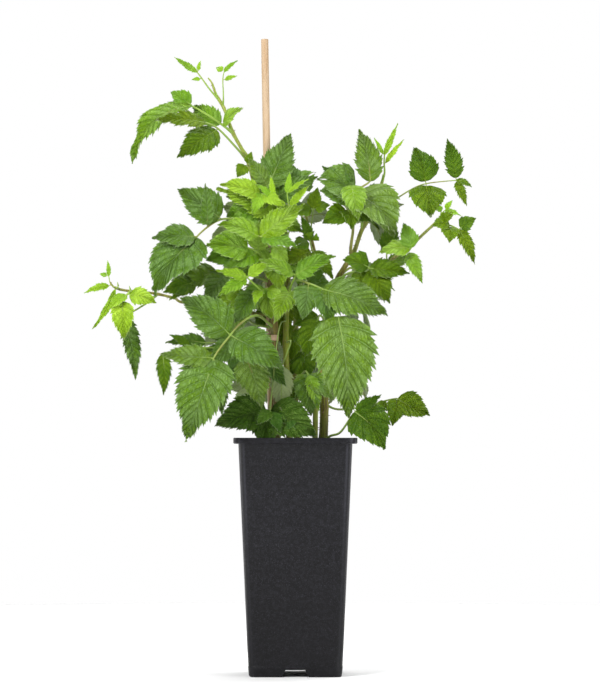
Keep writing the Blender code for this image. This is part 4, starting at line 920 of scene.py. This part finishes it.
def eased(values, low, high):
    """0 up to low, 1 from high on, and a soft rise between them."""
    share = np.clip((np.asarray(values, dtype=float) - low) / (high - low), 0.0, 1.0)
    return share * share * (3 - 2 * share)


def smooth_line(points, steps=4):
    """A smooth curve through points of any number of values."""
    points = np.asarray(points, dtype=float)
    if len(points) < 3:
        return points
    padded = np.vstack((2 * points[0] - points[1], points, 2 * points[-1] - points[-2]))
    line = []
    for before, start, end, after in zip(padded, padded[1:], padded[2:], padded[3:]):
        for step in range(steps):
            t = step / steps
            bend = 2 * before - 5 * start + 4 * end - after
            swing = 3 * start - before - 3 * end + after
            line.append(0.5 * (2 * start + (end - before) * t + bend * t**2 + swing * t**3))
    line.append(points[-1])
    return np.array(line)


def new_piece(name, mesh, *materials):
    """An object of a mesh with its materials, in the scene."""
    piece = bpy.data.objects.new(name, mesh)
    bpy.context.scene.collection.objects.link(piece)
    for material in materials:
        mesh.materials.append(material)
    return piece


def settle(piece):
    """Turn a piece's evaluated modifiers into a plain mesh."""
    bpy.context.view_layer.update()
    evaluated = piece.evaluated_get(bpy.context.evaluated_depsgraph_get())
    mesh = bpy.data.meshes.new_from_object(evaluated)
    if len(mesh.polygons) == 0:
        raise RuntimeError(piece.name + " has no faces")
    return mesh


def merged_copy(node_name):
    """A copy of a frame solid's mesh with its split corners joined and its normals outward."""
    mesh = bpy.data.objects[node_name].data.copy()
    bm = bmesh.new()
    bm.from_mesh(mesh)
    bmesh.ops.remove_doubles(bm, verts=bm.verts, dist=1e-6)
    bmesh.ops.dissolve_limit(bm, angle_limit=math.radians(0.5), verts=bm.verts, edges=bm.edges)
    bmesh.ops.recalc_face_normals(bm, faces=bm.faces)
    bm.to_mesh(mesh)
    bm.free()
    mesh.materials.clear()
    mesh.polygons.foreach_set("material_index", [0] * len(mesh.polygons))
    return mesh


def join_meshes(base, extra, slot):
    """Add a mesh to another, with all its faces in one material slot."""
    extra.polygons.foreach_set("material_index", [slot] * len(extra.polygons))
    bm = bmesh.new()
    bm.from_mesh(base)
    bm.from_mesh(extra)
    bm.to_mesh(base)
    bm.free()
    bpy.data.meshes.remove(extra)


def ease_edges(piece, width, degrees):
    """Round the edges of a piece that turn by more than an angle."""
    edges = piece.modifiers.new("edges", "BEVEL")
    edges.width = width
    edges.segments = 2
    edges.limit_method = "ANGLE"
    edges.angle_limit = math.radians(degrees)
    piece.data.shade_smooth()
    return edges


# ---------------------------------------------------------------- geometry node trees


def new_tree(name, sockets):
    """A geometry tree with its inputs, each a (label, kind, default)."""
    tree = bpy.data.node_groups.new(name, "GeometryNodeTree")
    for way in ("INPUT", "OUTPUT"):
        tree.interface.new_socket("Geometry", in_out=way, socket_type="NodeSocketGeometry")
    for label, kind, default in sockets:
        socket = tree.interface.new_socket(label, in_out="INPUT", socket_type="NodeSocket" + kind)
        if default is not None:
            socket.default_value = default
    return tree, tree.nodes.new("NodeGroupInput").outputs


def end_tree(tree, geometry, material, smooth):
    """Every tree ends in real geometry with its material."""
    shaded = add_node(tree, "GeometryNodeSetShadeSmooth", Geometry=geometry, Shade_Smooth=smooth)
    real = add_node(tree, "GeometryNodeRealizeInstances", Geometry=shaded.outputs["Geometry"])
    dressed = add_node(tree, "GeometryNodeSetMaterial", Geometry=real.outputs["Geometry"], Material=material)
    add_node(tree, "NodeGroupOutput", Geometry=dressed.outputs["Geometry"])
    return tree


def add_tree(piece, tree, **values):
    """Put a node tree on a piece and set its inputs by their identifiers."""
    modifier = piece.modifiers.new(tree.name, "NODES")
    modifier.node_group = tree
    sockets = [item for item in tree.interface.items_tree if item.item_type == "SOCKET"]
    identifiers = {item.name: item.identifier for item in sockets if item.in_out == "INPUT"}
    for key, value in values.items():
        modifier[identifiers[key]] = value


def stem_tree():
    """Round stems along curves, as thick as each curve point's radius."""
    inputs = (
        ("Spacing", "Float", 0.0025),
        ("Sides", "Int", 8),
        ("Knobbliness", "Float", 0.0),
        ("Material", "Material", None),
    )
    tree, given = new_tree("round_stems", inputs)
    even = add_node(
        tree,
        "GeometryNodeResampleCurve",
        {"mode": "LENGTH"},
        Curve=given["Geometry"],
        Length=given["Spacing"],
    )
    ring = add_node(tree, "GeometryNodeCurvePrimitiveCircle", Resolution=given["Sides"], Radius=1.0)
    tube = add_node(
        tree,
        "GeometryNodeCurveToMesh",
        Curve=even.outputs["Curve"],
        Profile_Curve=ring.outputs["Curve"],
        Scale=add_node(tree, "GeometryNodeInputRadius").outputs["Radius"],
        Fill_Caps=True,
    )
    lumps = add_node(tree, "ShaderNodeTexNoise", Scale=170.0, Detail=2.0).outputs["Fac"]
    height = add_math(tree, "MULTIPLY", add_math(tree, "SUBTRACT", lumps, 0.5), given["Knobbliness"])
    normal = add_node(tree, "GeometryNodeInputNormal").outputs["Normal"]
    outward = add_node(tree, "ShaderNodeVectorMath", {"operation": "SCALE"}, {0: normal, "Scale": height})
    moved = add_node(
        tree,
        "GeometryNodeSetPosition",
        Geometry=tube.outputs["Mesh"],
        Offset=outward.outputs["Vector"],
    )
    return end_tree(tree, moved.outputs["Geometry"], given["Material"], True)


def scatter_tree(name, shape, smooth, upward):
    """Small shapes of random size spread over a surface with a least distance between them."""
    inputs = (
        ("Gap", "Float", 0.004),
        ("Smallest", "Float", 0.5),
        ("Largest", "Float", 1.0),
        ("Size", "Float", 0.001),
        ("Seed", "Int", 1),
        ("Material", "Material", None),
    )
    tree, given = new_tree(name, inputs)
    seed = given["Seed"]
    spread = add_node(
        tree,
        "GeometryNodeDistributePointsOnFaces",
        {"distribute_method": "POISSON"},
        Mesh=given["Geometry"],
        Distance_Min=given["Gap"],
        Density_Max=400000.0,
        Seed=seed,
    )
    rotation = spread.outputs["Rotation"]
    if upward:
        # Only level faces get shapes, and each is turned any way.
        normal = add_node(tree, "GeometryNodeInputNormal").outputs["Normal"]
        rise = add_node(tree, "ShaderNodeSeparateXYZ", Vector=normal).outputs["Z"]
        level = {"operation": "GREATER_THAN", "data_type": "FLOAT"}
        chosen = add_node(tree, "FunctionNodeCompare", level, {0: rise, 1: 0.9})
        feed(tree, spread.inputs["Selection"], chosen.outputs["Result"])
        full_turns = {1: (ONCE_ROUND, ONCE_ROUND, ONCE_ROUND)}
        turn = add_node(tree, "FunctionNodeRandomValue", {"data_type": "FLOAT_VECTOR"}, full_turns, Seed=seed)
        rotation = turn.outputs[0]
    sizes = {2: given["Smallest"], 3: given["Largest"]}
    size = add_node(tree, "FunctionNodeRandomValue", {"data_type": "FLOAT"}, sizes, Seed=seed)
    each = add_node(
        tree,
        "GeometryNodeInstanceOnPoints",
        Points=spread.outputs["Points"],
        Instance=shape(tree),
        Rotation=rotation,
        Scale=add_math(tree, "MULTIPLY", size.outputs[1], given["Size"]),
    )
    return end_tree(tree, each.outputs["Instances"], given["Material"], smooth)


def thorn(tree):
    """A slim cone one unit tall."""
    made = add_node(tree, "GeometryNodeMeshCone", Vertices=5, Radius_Top=0.02, Radius_Bottom=0.24, Depth=1.0)
    return made.outputs["Mesh"]


def crumb(tree):
    """A lump of unit radius, uneven as a clod is."""
    ball = add_node(tree, "GeometryNodeMeshIcoSphere", Radius=1.0, Subdivisions=2).outputs["Mesh"]
    uneven = add_node(tree, "ShaderNodeTexNoise", Scale=1.6, Detail=2.0).outputs["Color"]
    centred = {0: uneven, 1: (0.5, 0.5, 0.5)}
    offset = add_node(tree, "ShaderNodeVectorMath", {"operation": "SUBTRACT"}, centred).outputs["Vector"]
    return add_node(tree, "GeometryNodeSetPosition", Geometry=ball, Offset=offset).outputs["Geometry"]


def stems_mesh(lines, spacing, sides, knobs, material):
    """Plain mesh of round stems along lines of (x, y, z, radius) in plant millimetres."""
    curve = bpy.data.curves.new("stem_lines", "CURVE")
    curve.dimensions = "3D"
    for line in lines:
        spline = curve.splines.new("POLY")
        spline.points.add(len(line) - 1)
        for point, row in zip(spline.points, line):
            point.co = (*placed(row[:3]), 1)
            point.radius = row[3] * MM
    holder = new_piece("stem_lines", curve)
    tree = bpy.data.node_groups.get("round_stems") or stem_tree()
    add_tree(holder, tree, Spacing=spacing, Sides=sides, Knobbliness=knobs, Material=material)
    mesh = settle(holder)
    bpy.data.objects.remove(holder)
    bpy.data.curves.remove(curve)
    return mesh


# ---------------------------------------------------------------- leaflets


class Blade:
    """One leaflet: a toothed, veined and quilted thin shell over a slanted grid."""

    # Columns across a wide or a narrow blade, and the length in millimetres from which it is wide.
    WIDE = (-1.0, -0.93, -0.74, -0.5, -0.26, -0.05, 0.0, 0.05, 0.26, 0.5, 0.74, 0.93, 1.0)
    NARROW = (-1.0, -0.9, -0.6, -0.06, 0.0, 0.06, 0.6, 0.9, 1.0)
    WIDE_FROM = 17

    # How many veins there are to each side of a blade longer than so many millimetres,
    # and the length from which there are three teeth to a vein and not two.
    VEINS = ((60, 11), (40, 9), (24, 8), (0, 6))
    THREE_TEETH_FROM = 26

    # The outline is a curve that leaves the base with one power and meets the tip with another.
    BASE_CURVE = 0.6
    TIP_CURVE = 1.18

    # The slant of the rows grows along the blade and fades again, to this peak before it is scaled.
    SLANT_PEAK = 0.2365

    # The first and the last row, and where a tooth's point lies from its own foot to the next one's.
    FIRST_ROW = 0.004
    LAST_ROW = 0.995
    TOOTH_POINT = 0.72

    def __init__(self, base, tip, width, bow, facing, rng, looks):
        self.base = np.asarray(base, dtype=float)
        self.run = np.asarray(tip, dtype=float) - self.base
        self.length = float(np.linalg.norm(self.run))
        self.half = width * BLADE_FULLNESS / 2
        self.bow = bow
        self.up = square_to(facing, unit(self.run))
        self.side = np.cross(unit(self.run), self.up)
        self.rng = rng
        self.looks = looks
        self.veins = next(count for longer, count in self.VEINS if self.length > longer)
        self.minors = 3 if self.length > self.THREE_TEETH_FROM else 2
        self.across = np.array(self.WIDE if self.length > self.WIDE_FROM else self.NARROW)[None, :]
        self.away = np.abs(self.across)
        self.shape()

    def rows(self):
        """Rows at the foot and the point of every tooth, and how far the margin stands out there."""
        teeth = self.veins * self.minors
        slim = min(1.0, 5 * self.half / self.length)
        size = (0.8 * self.length + 7.0) * slim
        places, stands = [], []
        for tooth in range(teeth):
            main = self.looks.main_tooth * size * self.rng.uniform(0.8, 1.2)
            minor = self.looks.minor_tooth * size * self.rng.uniform(0.8, 1.2)
            for part, jut in ((0.0, -0.5), (self.TOOTH_POINT, 0.5)):
                places.append(max(self.FIRST_ROW, (tooth + part) / teeth))
                stands.append(main * ((tooth % self.minors + part) / self.minors - 0.5) + minor * jut)
        places = np.array([*places, self.LAST_ROW])
        stands = np.array([*stands, 0.0]) * eased(places, 0.0, 0.08) * (1 - eased(places, 0.93, 1.0))
        return places, stands

    def profile(self, places):
        """How wide the blade is along its length, against its widest place."""
        rise = places**self.BASE_CURVE * (1 - places) ** self.TIP_CURVE
        peak = self.BASE_CURVE / (self.BASE_CURVE + self.TIP_CURVE)
        return rise / (peak**self.BASE_CURVE * (1 - peak) ** self.TIP_CURVE)

    def outline(self, places, stands):
        """How far ahead and aside every point lies in the blade's plane, and half the width there."""
        away = self.away

        # Veins leave the midrib steeply and reach the margin further on, so the rows slant and curve.
        lean = 0.95 * self.half / self.length * self.rng.uniform(0.9, 1.1)
        reach = places + lean * places**0.8 * (1 - places) ** 1.4 / self.SLANT_PEAK
        full = self.profile(reach)[:, None]
        half = self.half * full
        ahead = places[:, None] + (reach - places)[:, None] * (away + 0.25 * away**2) / 1.25

        # Teeth stand out square to the margin and point forward.
        slope_ahead = np.gradient(reach * self.length)
        slope_aside = np.gradient(half[:, 0])
        steep = np.hypot(slope_ahead, slope_aside)[:, None]
        outward = np.stack((-slope_aside, slope_ahead), -1) / steep
        onward = np.stack((slope_ahead, slope_aside), -1) / steep
        stand = stands[:, None] * (0.35 + 0.65 * full) * eased(away, 0.78, 1.0)
        shift = stand[..., None] * (outward + 0.55 * onward)[:, None, :]
        ahead = ahead + shift[..., 0] / self.length
        aside = self.across * half + np.sign(self.across) * shift[..., 1]
        return ahead, aside, half

    def relief(self, places, half):
        """How far every point stands up from the blade's plane."""
        rng, away = self.rng, self.away

        # A trough along the midrib, and halves that arch.
        fold = rng.uniform(0.3, 0.6)
        arch = rng.uniform(0.12, 0.4)
        lift = half * (fold * np.sqrt(away**2 + 0.004) - arch * away**2 - 0.25 * fold)

        # The skin swells between the veins, and the margin waves.
        swell = np.abs(np.sin(np.pi * np.mod(self.veins * places - VEIN_PLACE, 1.0)))[:, None] ** 0.8
        lift = lift + self.looks.quilting * self.length * (swell - 0.5) * np.sqrt(away) * (1 - 0.4 * away**4)
        waves = rng.uniform(1.8, 3.2)
        phase = np.where(self.across > 0, rng.uniform(0, ONCE_ROUND), rng.uniform(0, ONCE_ROUND))
        wave = np.sin(2 * np.pi * waves * places[:, None] + phase) * away**3
        return lift + self.looks.ruffle * self.length * wave * eased(places, 0.0, 0.2)[:, None]

    def bent(self, ahead, aside, lift):
        """The points along an arched middle line that sways and twists a little and droops at its tip."""
        rng = self.rng
        sway = rng.uniform(-0.035, 0.035) * self.length
        droop = rng.uniform(0.0, 0.06) * self.length
        arc = self.up * self.bow + self.side * sway
        along = ahead[..., None]
        centre = self.base + self.run * along + arc * (4 * along * (1 - along))
        centre = centre - self.up * droop * along**3
        forward = self.run + arc * (4 * (1 - 2 * along)) - 3 * self.up * droop * along**2
        forward = forward / np.linalg.norm(forward, axis=-1, keepdims=True)
        up = self.up - forward * (forward @ self.up)[..., None]
        up = up / np.linalg.norm(up, axis=-1, keepdims=True)
        side = np.cross(forward, up)
        turn = rng.uniform(-1, 1) * self.looks.twist * (along - 0.25)
        side, up = side * np.cos(turn) + up * np.sin(turn), up * np.cos(turn) - side * np.sin(turn)
        return centre + side * aside[..., None] + up * lift[..., None]

    def shape(self):
        """Points of the two sides and of the rib, and what the material reads."""
        places, stands = self.rows()
        ahead, aside, half = self.outline(places, stands)
        lift = self.relief(places, half)
        grid = self.bent(ahead, aside, lift)
        normal = np.cross(np.gradient(grid, axis=1), np.gradient(grid, axis=0))
        normal = normal / np.maximum(1e-9, np.linalg.norm(normal, axis=-1, keepdims=True))
        thick = self.looks.thickness / MM / 2
        self.upper = grid + normal * thick
        self.lower = grid - normal * thick
        self.rib = (grid - normal * (thick + 0.1))[:, self.across.size // 2]
        self.chart = np.stack(np.broadcast_arrays(self.across / 2 + 0.5, (self.veins * places)[:, None]), -1)
        self.tint = self.rng.uniform(-1, 1)
        self.span = (math.sqrt(self.length * 2 * self.half) / FULL_SPAN) ** 1.5

    def faces(self, start):
        """Faces of the upper side, the lower side and the thin margin, as three lists."""
        rows, columns = self.upper.shape[:2]
        under = start + rows * columns
        top, bottom = [], []
        for row in range(rows - 1):
            for column in range(columns - 1):
                a = row * columns + column
                quad = (a, a + 1, a + 1 + columns, a + columns)
                top.append([start + corner for corner in quad])
                bottom.append([under + corner for corner in reversed(quad)])
        loop = list(range(columns))
        loop += [row * columns + columns - 1 for row in range(1, rows)]
        loop += [(rows - 1) * columns + column for column in range(columns - 2, -1, -1)]
        loop += [row * columns for row in range(rows - 2, 0, -1)]
        pairs = zip(loop, loop[1:] + loop[:1])
        margin = [(start + here, under + here, under + there, start + there) for here, there in pairs]
        return top, bottom, margin

    def rib_line(self, thickness):
        """The raised rib under the blade, from its foot nearly to the tip, with its radius."""
        picked = self.rib[:: self.minors][:-1]
        radius = np.linspace(thickness, 0.14, len(picked))
        return np.column_stack((picked, radius))


def blades_mesh(name, blades):
    """One mesh of a leaf's blades: slot 0 for the upper side, slot 1 for the lower side and margin."""
    points, charts, tints, spans, polygons, slots = [], [], [], [], [], []
    for blade in blades:
        top, bottom, margin = blade.faces(sum(len(block) for block in points))
        for side in (blade.upper, blade.lower):
            points.append(placed(side.reshape(-1, 3)))
            charts.append(blade.chart.reshape(-1, 2))
            tints.append(np.full(len(points[-1]), blade.tint))
            spans.append(np.full(len(points[-1]), blade.span))
        polygons += top + bottom + margin
        slots += [0] * len(top) + [1] * (len(bottom) + len(margin))
    mesh = bpy.data.meshes.new(name)
    mesh.from_pydata(np.vstack(points).tolist(), [], polygons)
    mesh.polygons.foreach_set("material_index", slots)
    corners = np.empty(len(mesh.loops), dtype=np.int32)
    mesh.loops.foreach_get("vertex_index", corners)
    chart = mesh.uv_layers.new(name="UVMap")
    chart.uv.foreach_set("vector", np.vstack(charts)[corners].astype(np.float32).ravel())
    for key, values in (("tint", tints), ("span", spans)):
        kept = mesh.attributes.new(key, "FLOAT", "POINT")
        kept.data.foreach_set("value", np.concatenate(values).astype(np.float32))
    mesh.shade_smooth()
    mesh.set_sharp_from_angle(angle=math.radians(60))
    return mesh


def leaf_parts(row, looks, rng):
    """Blades and stalk lines of one compound leaf."""
    _name, _host, _tone, facing, stalk, end, sides = row
    facing = unit(np.array(facing, dtype=float))
    stalk = np.array(stalk, dtype=float)
    blades, lines = [], []

    def grow(base, tip, width, bow, lean):
        tilt = np.array([rng.uniform(-lean, lean) for _axis in range(3)])
        blades.append(Blade(base, tip, width, bow, unit(facing + tilt), rng, looks))
        return blades[-1]

    # The main stalk thins to the end leaflet, whose rib goes on from it.
    blade = grow(stalk[-1], *end, END_TILT)
    thickness = min(STALK_THICKEST, 0.3 + 0.014 * blade.length * (1 + len(sides) * 0.35))
    radii = np.linspace(thickness, thickness * STALK_TAPER, len(stalk))
    line = smooth_line(np.column_stack((stalk, radii)))
    line[np.linalg.norm(line[:, :3] - stalk[0], axis=1) < STALK_FOOT, 3] *= STALK_SWELL
    lines.append(np.vstack((line[:-1], blade.rib_line(thickness * STALK_TAPER))))
    for node, tip, width, bow in sides:
        along = unit(stalk[min(node + 1, len(stalk) - 1)] - stalk[node - 1])
        out = unit(np.array(tip, dtype=float) - stalk[node])
        base = stalk[node] + (out + square_to(out, along)) * SIDE_START
        blade = grow(base, tip, width, bow, SIDE_TILT)
        foot = (*stalk[node], 0.6 * thickness)
        lines.append(np.vstack((foot, blade.rib_line(thickness * 0.5))))
    lines.append(bud_line(stalk[0], unit(stalk[1] - stalk[0])))
    return blades, lines


def bud_line(joint, away):
    """A plump bud in the angle between a leaf stalk and its cane."""
    foot = joint + np.array((0.0, 0.0, 1.6)) + away * 2.2
    rise = unit(away * 0.5 + np.array((0.0, 0.0, 1.0)))
    return np.array([(*(foot + rise * height), radius) for height, radius in BUD])


def swell_at_leaves(cane, line):
    """Thicken a cane a little where a leaf or a shoot leaves it."""
    line = line.copy()
    joints = [row[4][0] for row in LEAVES if row[1] == cane]
    joints += [row[3][0][:3] for row in CANES if row[1] == cane]
    for joint in joints:
        gap = np.linalg.norm(line[:, :3] - np.array(joint, dtype=float), axis=1)
        line[:, 3] *= 1 + KNUCKLE_SWELL * np.exp(-((gap / KNUCKLE_REACH) ** 2))
    return line


def light_walls(ceiling):
    """Studio walls that are white all round up to eye height, and dimmer above."""
    world = bpy.data.worlds.new("studio")
    world.use_nodes = True
    bpy.context.scene.world = world
    bpy.context.scene.view_settings.view_transform = "Standard"
    tree = world.node_tree
    way = add_node(tree, "ShaderNodeTexCoord").outputs["Generated"]
    rise = add_node(tree, "ShaderNodeSeparateXYZ", Vector=way).outputs["Z"]
    sky = tree.nodes["Background"]
    feed(tree, sky.inputs["Strength"], add_ease(tree, rise, 0.14, 0.3, 1.0, ceiling))
    feed(tree, sky.inputs["Color"], (1.0, 1.0, 1.0))


def floor_disc(radius):
    """A round sheet at the ground, smooth enough to show no corners."""
    bm = bmesh.new()
    bmesh.ops.create_circle(bm, cap_ends=True, segments=96, radius=radius)
    mesh = bpy.data.meshes.new("floor")
    bm.to_mesh(mesh)
    bm.free()
    return mesh


def add_camera(looks):
    """A level camera with a long lens, shifted up so that the pot's walls stay upright."""
    data = bpy.data.cameras.new("camera")
    data.lens = looks.lens
    data.sensor_width = 36.0
    data.sensor_fit = "HORIZONTAL"
    data.shift_y = looks.rise
    data.clip_end = 50.0
    camera = bpy.data.objects.new("camera", data)
    camera.location = (looks.across, -looks.distance, looks.eye_height)
    camera.rotation_euler = (math.radians(90), 0.0, 0.0)
    bpy.context.scene.collection.objects.link(camera)
    bpy.context.scene.camera = camera


def add_lamp(name, power, size, place):
    """A square soft lamp aimed at the middle of the plant."""
    data = bpy.data.lights.new(name, "AREA")
    data.energy = power
    data.size = size
    lamp = bpy.data.objects.new(name, data)
    lamp.location = place
    lamp.rotation_euler = (PLANT_MIDDLE - Vector(place)).to_track_quat("-Z", "Y").to_euler()
    bpy.context.scene.collection.objects.link(lamp)


# ---------------------------------------------------------------- operators


class RASPBERRY_OT_pot(bpy.types.Operator):
    """Deep square nursery pot with eased edges and grained plastic"""

    bl_idname = "raspberry.pot"
    bl_label = "Pot"

    def execute(self, context):
        looks = context.scene.raspberry_pot
        material = plastic_material("grained_black_plastic", looks.plastic, looks.plastic_dust_and_highlight)
        pot = new_piece("pot_shell", merged_copy("pot"), material)
        ease_edges(pot, looks.edge, 28).harden_normals = True
        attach(pot, "root")
        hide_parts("pot")
        return {"FINISHED"}


class RASPBERRY_OT_soil(bpy.types.Operator):
    """Potting soil, with crumbs and pale grains on its surface"""

    bl_idname = "raspberry.soil"
    bl_label = "Soil"

    def execute(self, context):
        looks = context.scene.raspberry_pot
        bed = bpy.data.objects["potting_soil"]
        earth = soil_material("moist_potting_soil", looks.soil, looks.soil_light)
        for slot in bed.material_slots:
            slot.material = earth
        scatter = scatter_tree("soil_crumbs", crumb, False, True)
        grains = perlite_material("porous_white_grain", looks.perlite)
        sorts = (
            ("soil_crumbs", looks.crumb_gap, 1.0, looks.crumb, looks.seed, earth),
            ("soil_grains", looks.crumb_gap * 4.5, 0.8, looks.crumb * 0.8, looks.seed + 1, grains),
        )
        for name, gap, largest, size, seed, material in sorts:
            bare = new_piece(name + "_bed", bed.data.copy())
            bare.data.materials.clear()
            sizes = {"Smallest": 0.35, "Largest": largest, "Size": size}
            add_tree(bare, scatter, Gap=gap, **sizes, Seed=seed, Material=material)
            piece = new_piece(name, settle(bare))
            bpy.data.objects.remove(bare)
            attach(piece, "root")
        return {"FINISHED"}


class RASPBERRY_OT_stake(bpy.types.Operator):
    """Round wooden stake"""

    bl_idname = "raspberry.stake"
    bl_label = "Stake"

    def execute(self, context):
        looks = context.scene.raspberry_pot
        material = wood_material("turned_softwood", looks.wood, looks.wood_grain)
        stake = new_piece("stake_stick", merged_copy("stake"), material)
        ease_edges(stake, looks.fine_edge, 30)
        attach(stake, "root")
        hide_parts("stake")
        return {"FINISHED"}


class RASPBERRY_OT_tie(bpy.types.Operator):
    """Soft band that holds the left cane to the stake"""

    bl_idname = "raspberry.tie"
    bl_label = "Tie"

    def execute(self, context):
        looks = context.scene.raspberry_pot
        tie = new_piece("tie_band", merged_copy("tie"), tie_material("soft_foam_band", looks.tie))
        ease_edges(tie, looks.fine_edge, 40)
        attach(tie, "root")
        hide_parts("tie")
        return {"FINISHED"}


class RASPBERRY_OT_canes(bpy.types.Operator):
    """Canes and side shoots with their prickles"""

    bl_idname = "raspberry.canes"
    bl_label = "Canes"

    def execute(self, context):
        looks = context.scene.raspberry_stems
        skins = {
            "bark": bark_material("ripe_cane_bark", looks.bark, looks.bark_dark, 0.35),
            "green": bark_material("green_cane_skin", looks.green, shade(looks.green, 0.75), 0.2),
            "olive": bark_material("olive_cane_skin", looks.olive, looks.bark_dark, 0.45),
        }
        horn = stalk_material("prickle_horn", looks.prickle, shade(looks.prickle, 0.6))
        scatter = scatter_tree("cane_prickles", thorn, True, False)
        for name, _host, colour, table in CANES:
            line = swell_at_leaves(name, smooth_line(table, 6))
            mesh = stems_mesh([line], looks.spacing, CANE_SIDES, looks.knobs, skins[colour])
            cane = new_piece(name + "_stem", mesh)
            skin = new_piece(name + "_skin", mesh.copy())
            sizes = {"Smallest": 0.35, "Largest": 1.0, "Size": looks.prickle_length}
            seed = looks.seed + len(name)
            add_tree(skin, scatter, Gap=looks.prickle_gap, **sizes, Seed=seed, Material=horn)
            thorns = new_piece(name + "_prickles", settle(skin))
            bpy.data.objects.remove(skin)
            for piece in (cane, thorns):
                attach(piece, "root")
            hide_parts(name)
        return {"FINISHED"}


class RASPBERRY_OT_leaves(bpy.types.Operator):
    """Compound leaves, each with its stalk, ribs and toothed leaflets"""

    bl_idname = "raspberry.leaves"
    bl_label = "Leaves"

    def execute(self, context):
        looks = context.scene.raspberry_foliage
        skins = {}
        for tone, age in AGES.items():
            colour = tuple(getattr(looks, tone))
            skins[tone] = (
                blade_material("leaf_upper_" + tone, colour, age, PALE_BLUES[tone]),
                underside_material("leaf_under_" + tone, looks.underside, colour),
                stalk_material("leaf_stalk_" + tone, blend(looks.stalk, 0.6, colour), looks.blush),
            )
        for number, row in enumerate(LEAVES + INNER_LEAVES):
            name, _host, tone = row[:3]
            rng = np.random.default_rng(looks.seed * 1000 + number)
            blades, lines = leaf_parts(row, looks, rng)
            mesh = blades_mesh(name + "_leaflets", blades)
            leaf = new_piece(name + "_leaflets", mesh, *skins[tone])
            join_meshes(mesh, stems_mesh(lines, STALK_RINGS, STALK_SIDES, 0.0, skins[tone][2]), 2)
            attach(leaf, "root")
            if row in LEAVES:
                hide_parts(name)
        return {"FINISHED"}


class RASPBERRY_OT_stage(bpy.types.Operator):
    """Pale floor, soft studio light and the camera"""

    bl_idname = "raspberry.stage"
    bl_label = "Stage"

    def execute(self, context):
        looks = context.scene.raspberry_stage
        floor = new_piece("floor", floor_disc(looks.floor_radius), floor_material("pale_floor", looks.floor))
        light_walls(looks.ceiling)
        for name, size, place in LAMPS:
            add_lamp(name + "_lamp", getattr(looks, name), size, place)
        add_camera(looks)
        return {"FINISHED"}


class RASPBERRY_PT_sidebar(bpy.types.Panel):
    """Lists the builders and what they use"""

    bl_idname = "RASPBERRY_PT_sidebar"
    bl_label = "Potted Raspberry Plant"
    bl_space_type = "VIEW_3D"
    bl_region_type = "UI"
    bl_category = "Raspberry"

    def draw(self, context):
        for key, (_kind, *builders) in GROUPS.items():
            settings = getattr(context.scene, key)
            box = self.layout.box()
            for name in settings.__annotations__:
                box.prop(settings, name)
            for builder in builders:
                box.operator(builder.bl_idname)


# Each group of settings by its name in the scene, with the builders that use it.
GROUPS = {
    "raspberry_pot": (
        RaspberryPot,
        RASPBERRY_OT_pot,
        RASPBERRY_OT_soil,
        RASPBERRY_OT_stake,
        RASPBERRY_OT_tie,
    ),
    "raspberry_stems": (RaspberryStems, RASPBERRY_OT_canes),
    "raspberry_foliage": (RaspberryFoliage, RASPBERRY_OT_leaves),
    "raspberry_stage": (RaspberryStage, RASPBERRY_OT_stage),
}
CLASSES = [*(kind for kinds in GROUPS.values() for kind in kinds), RASPBERRY_PT_sidebar]


def register():
    for kind in CLASSES:
        bpy.utils.register_class(kind)
    for key, (settings, *_builders) in GROUPS.items():
        setattr(bpy.types.Scene, key, bpy.props.PointerProperty(type=settings))


def unregister():
    for key in GROUPS:
        delattr(bpy.types.Scene, key)
    for kind in reversed(CLASSES):
        bpy.utils.unregister_class(kind)


def main():
    register()
    bpy.ops.raspberry.stage()
    bpy.ops.raspberry.pot()
    bpy.ops.raspberry.soil()
    bpy.ops.raspberry.stake()
    bpy.ops.raspberry.tie()
    bpy.ops.raspberry.canes()
    bpy.ops.raspberry.leaves()
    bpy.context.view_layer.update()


if __name__ == "__main__":
    main()
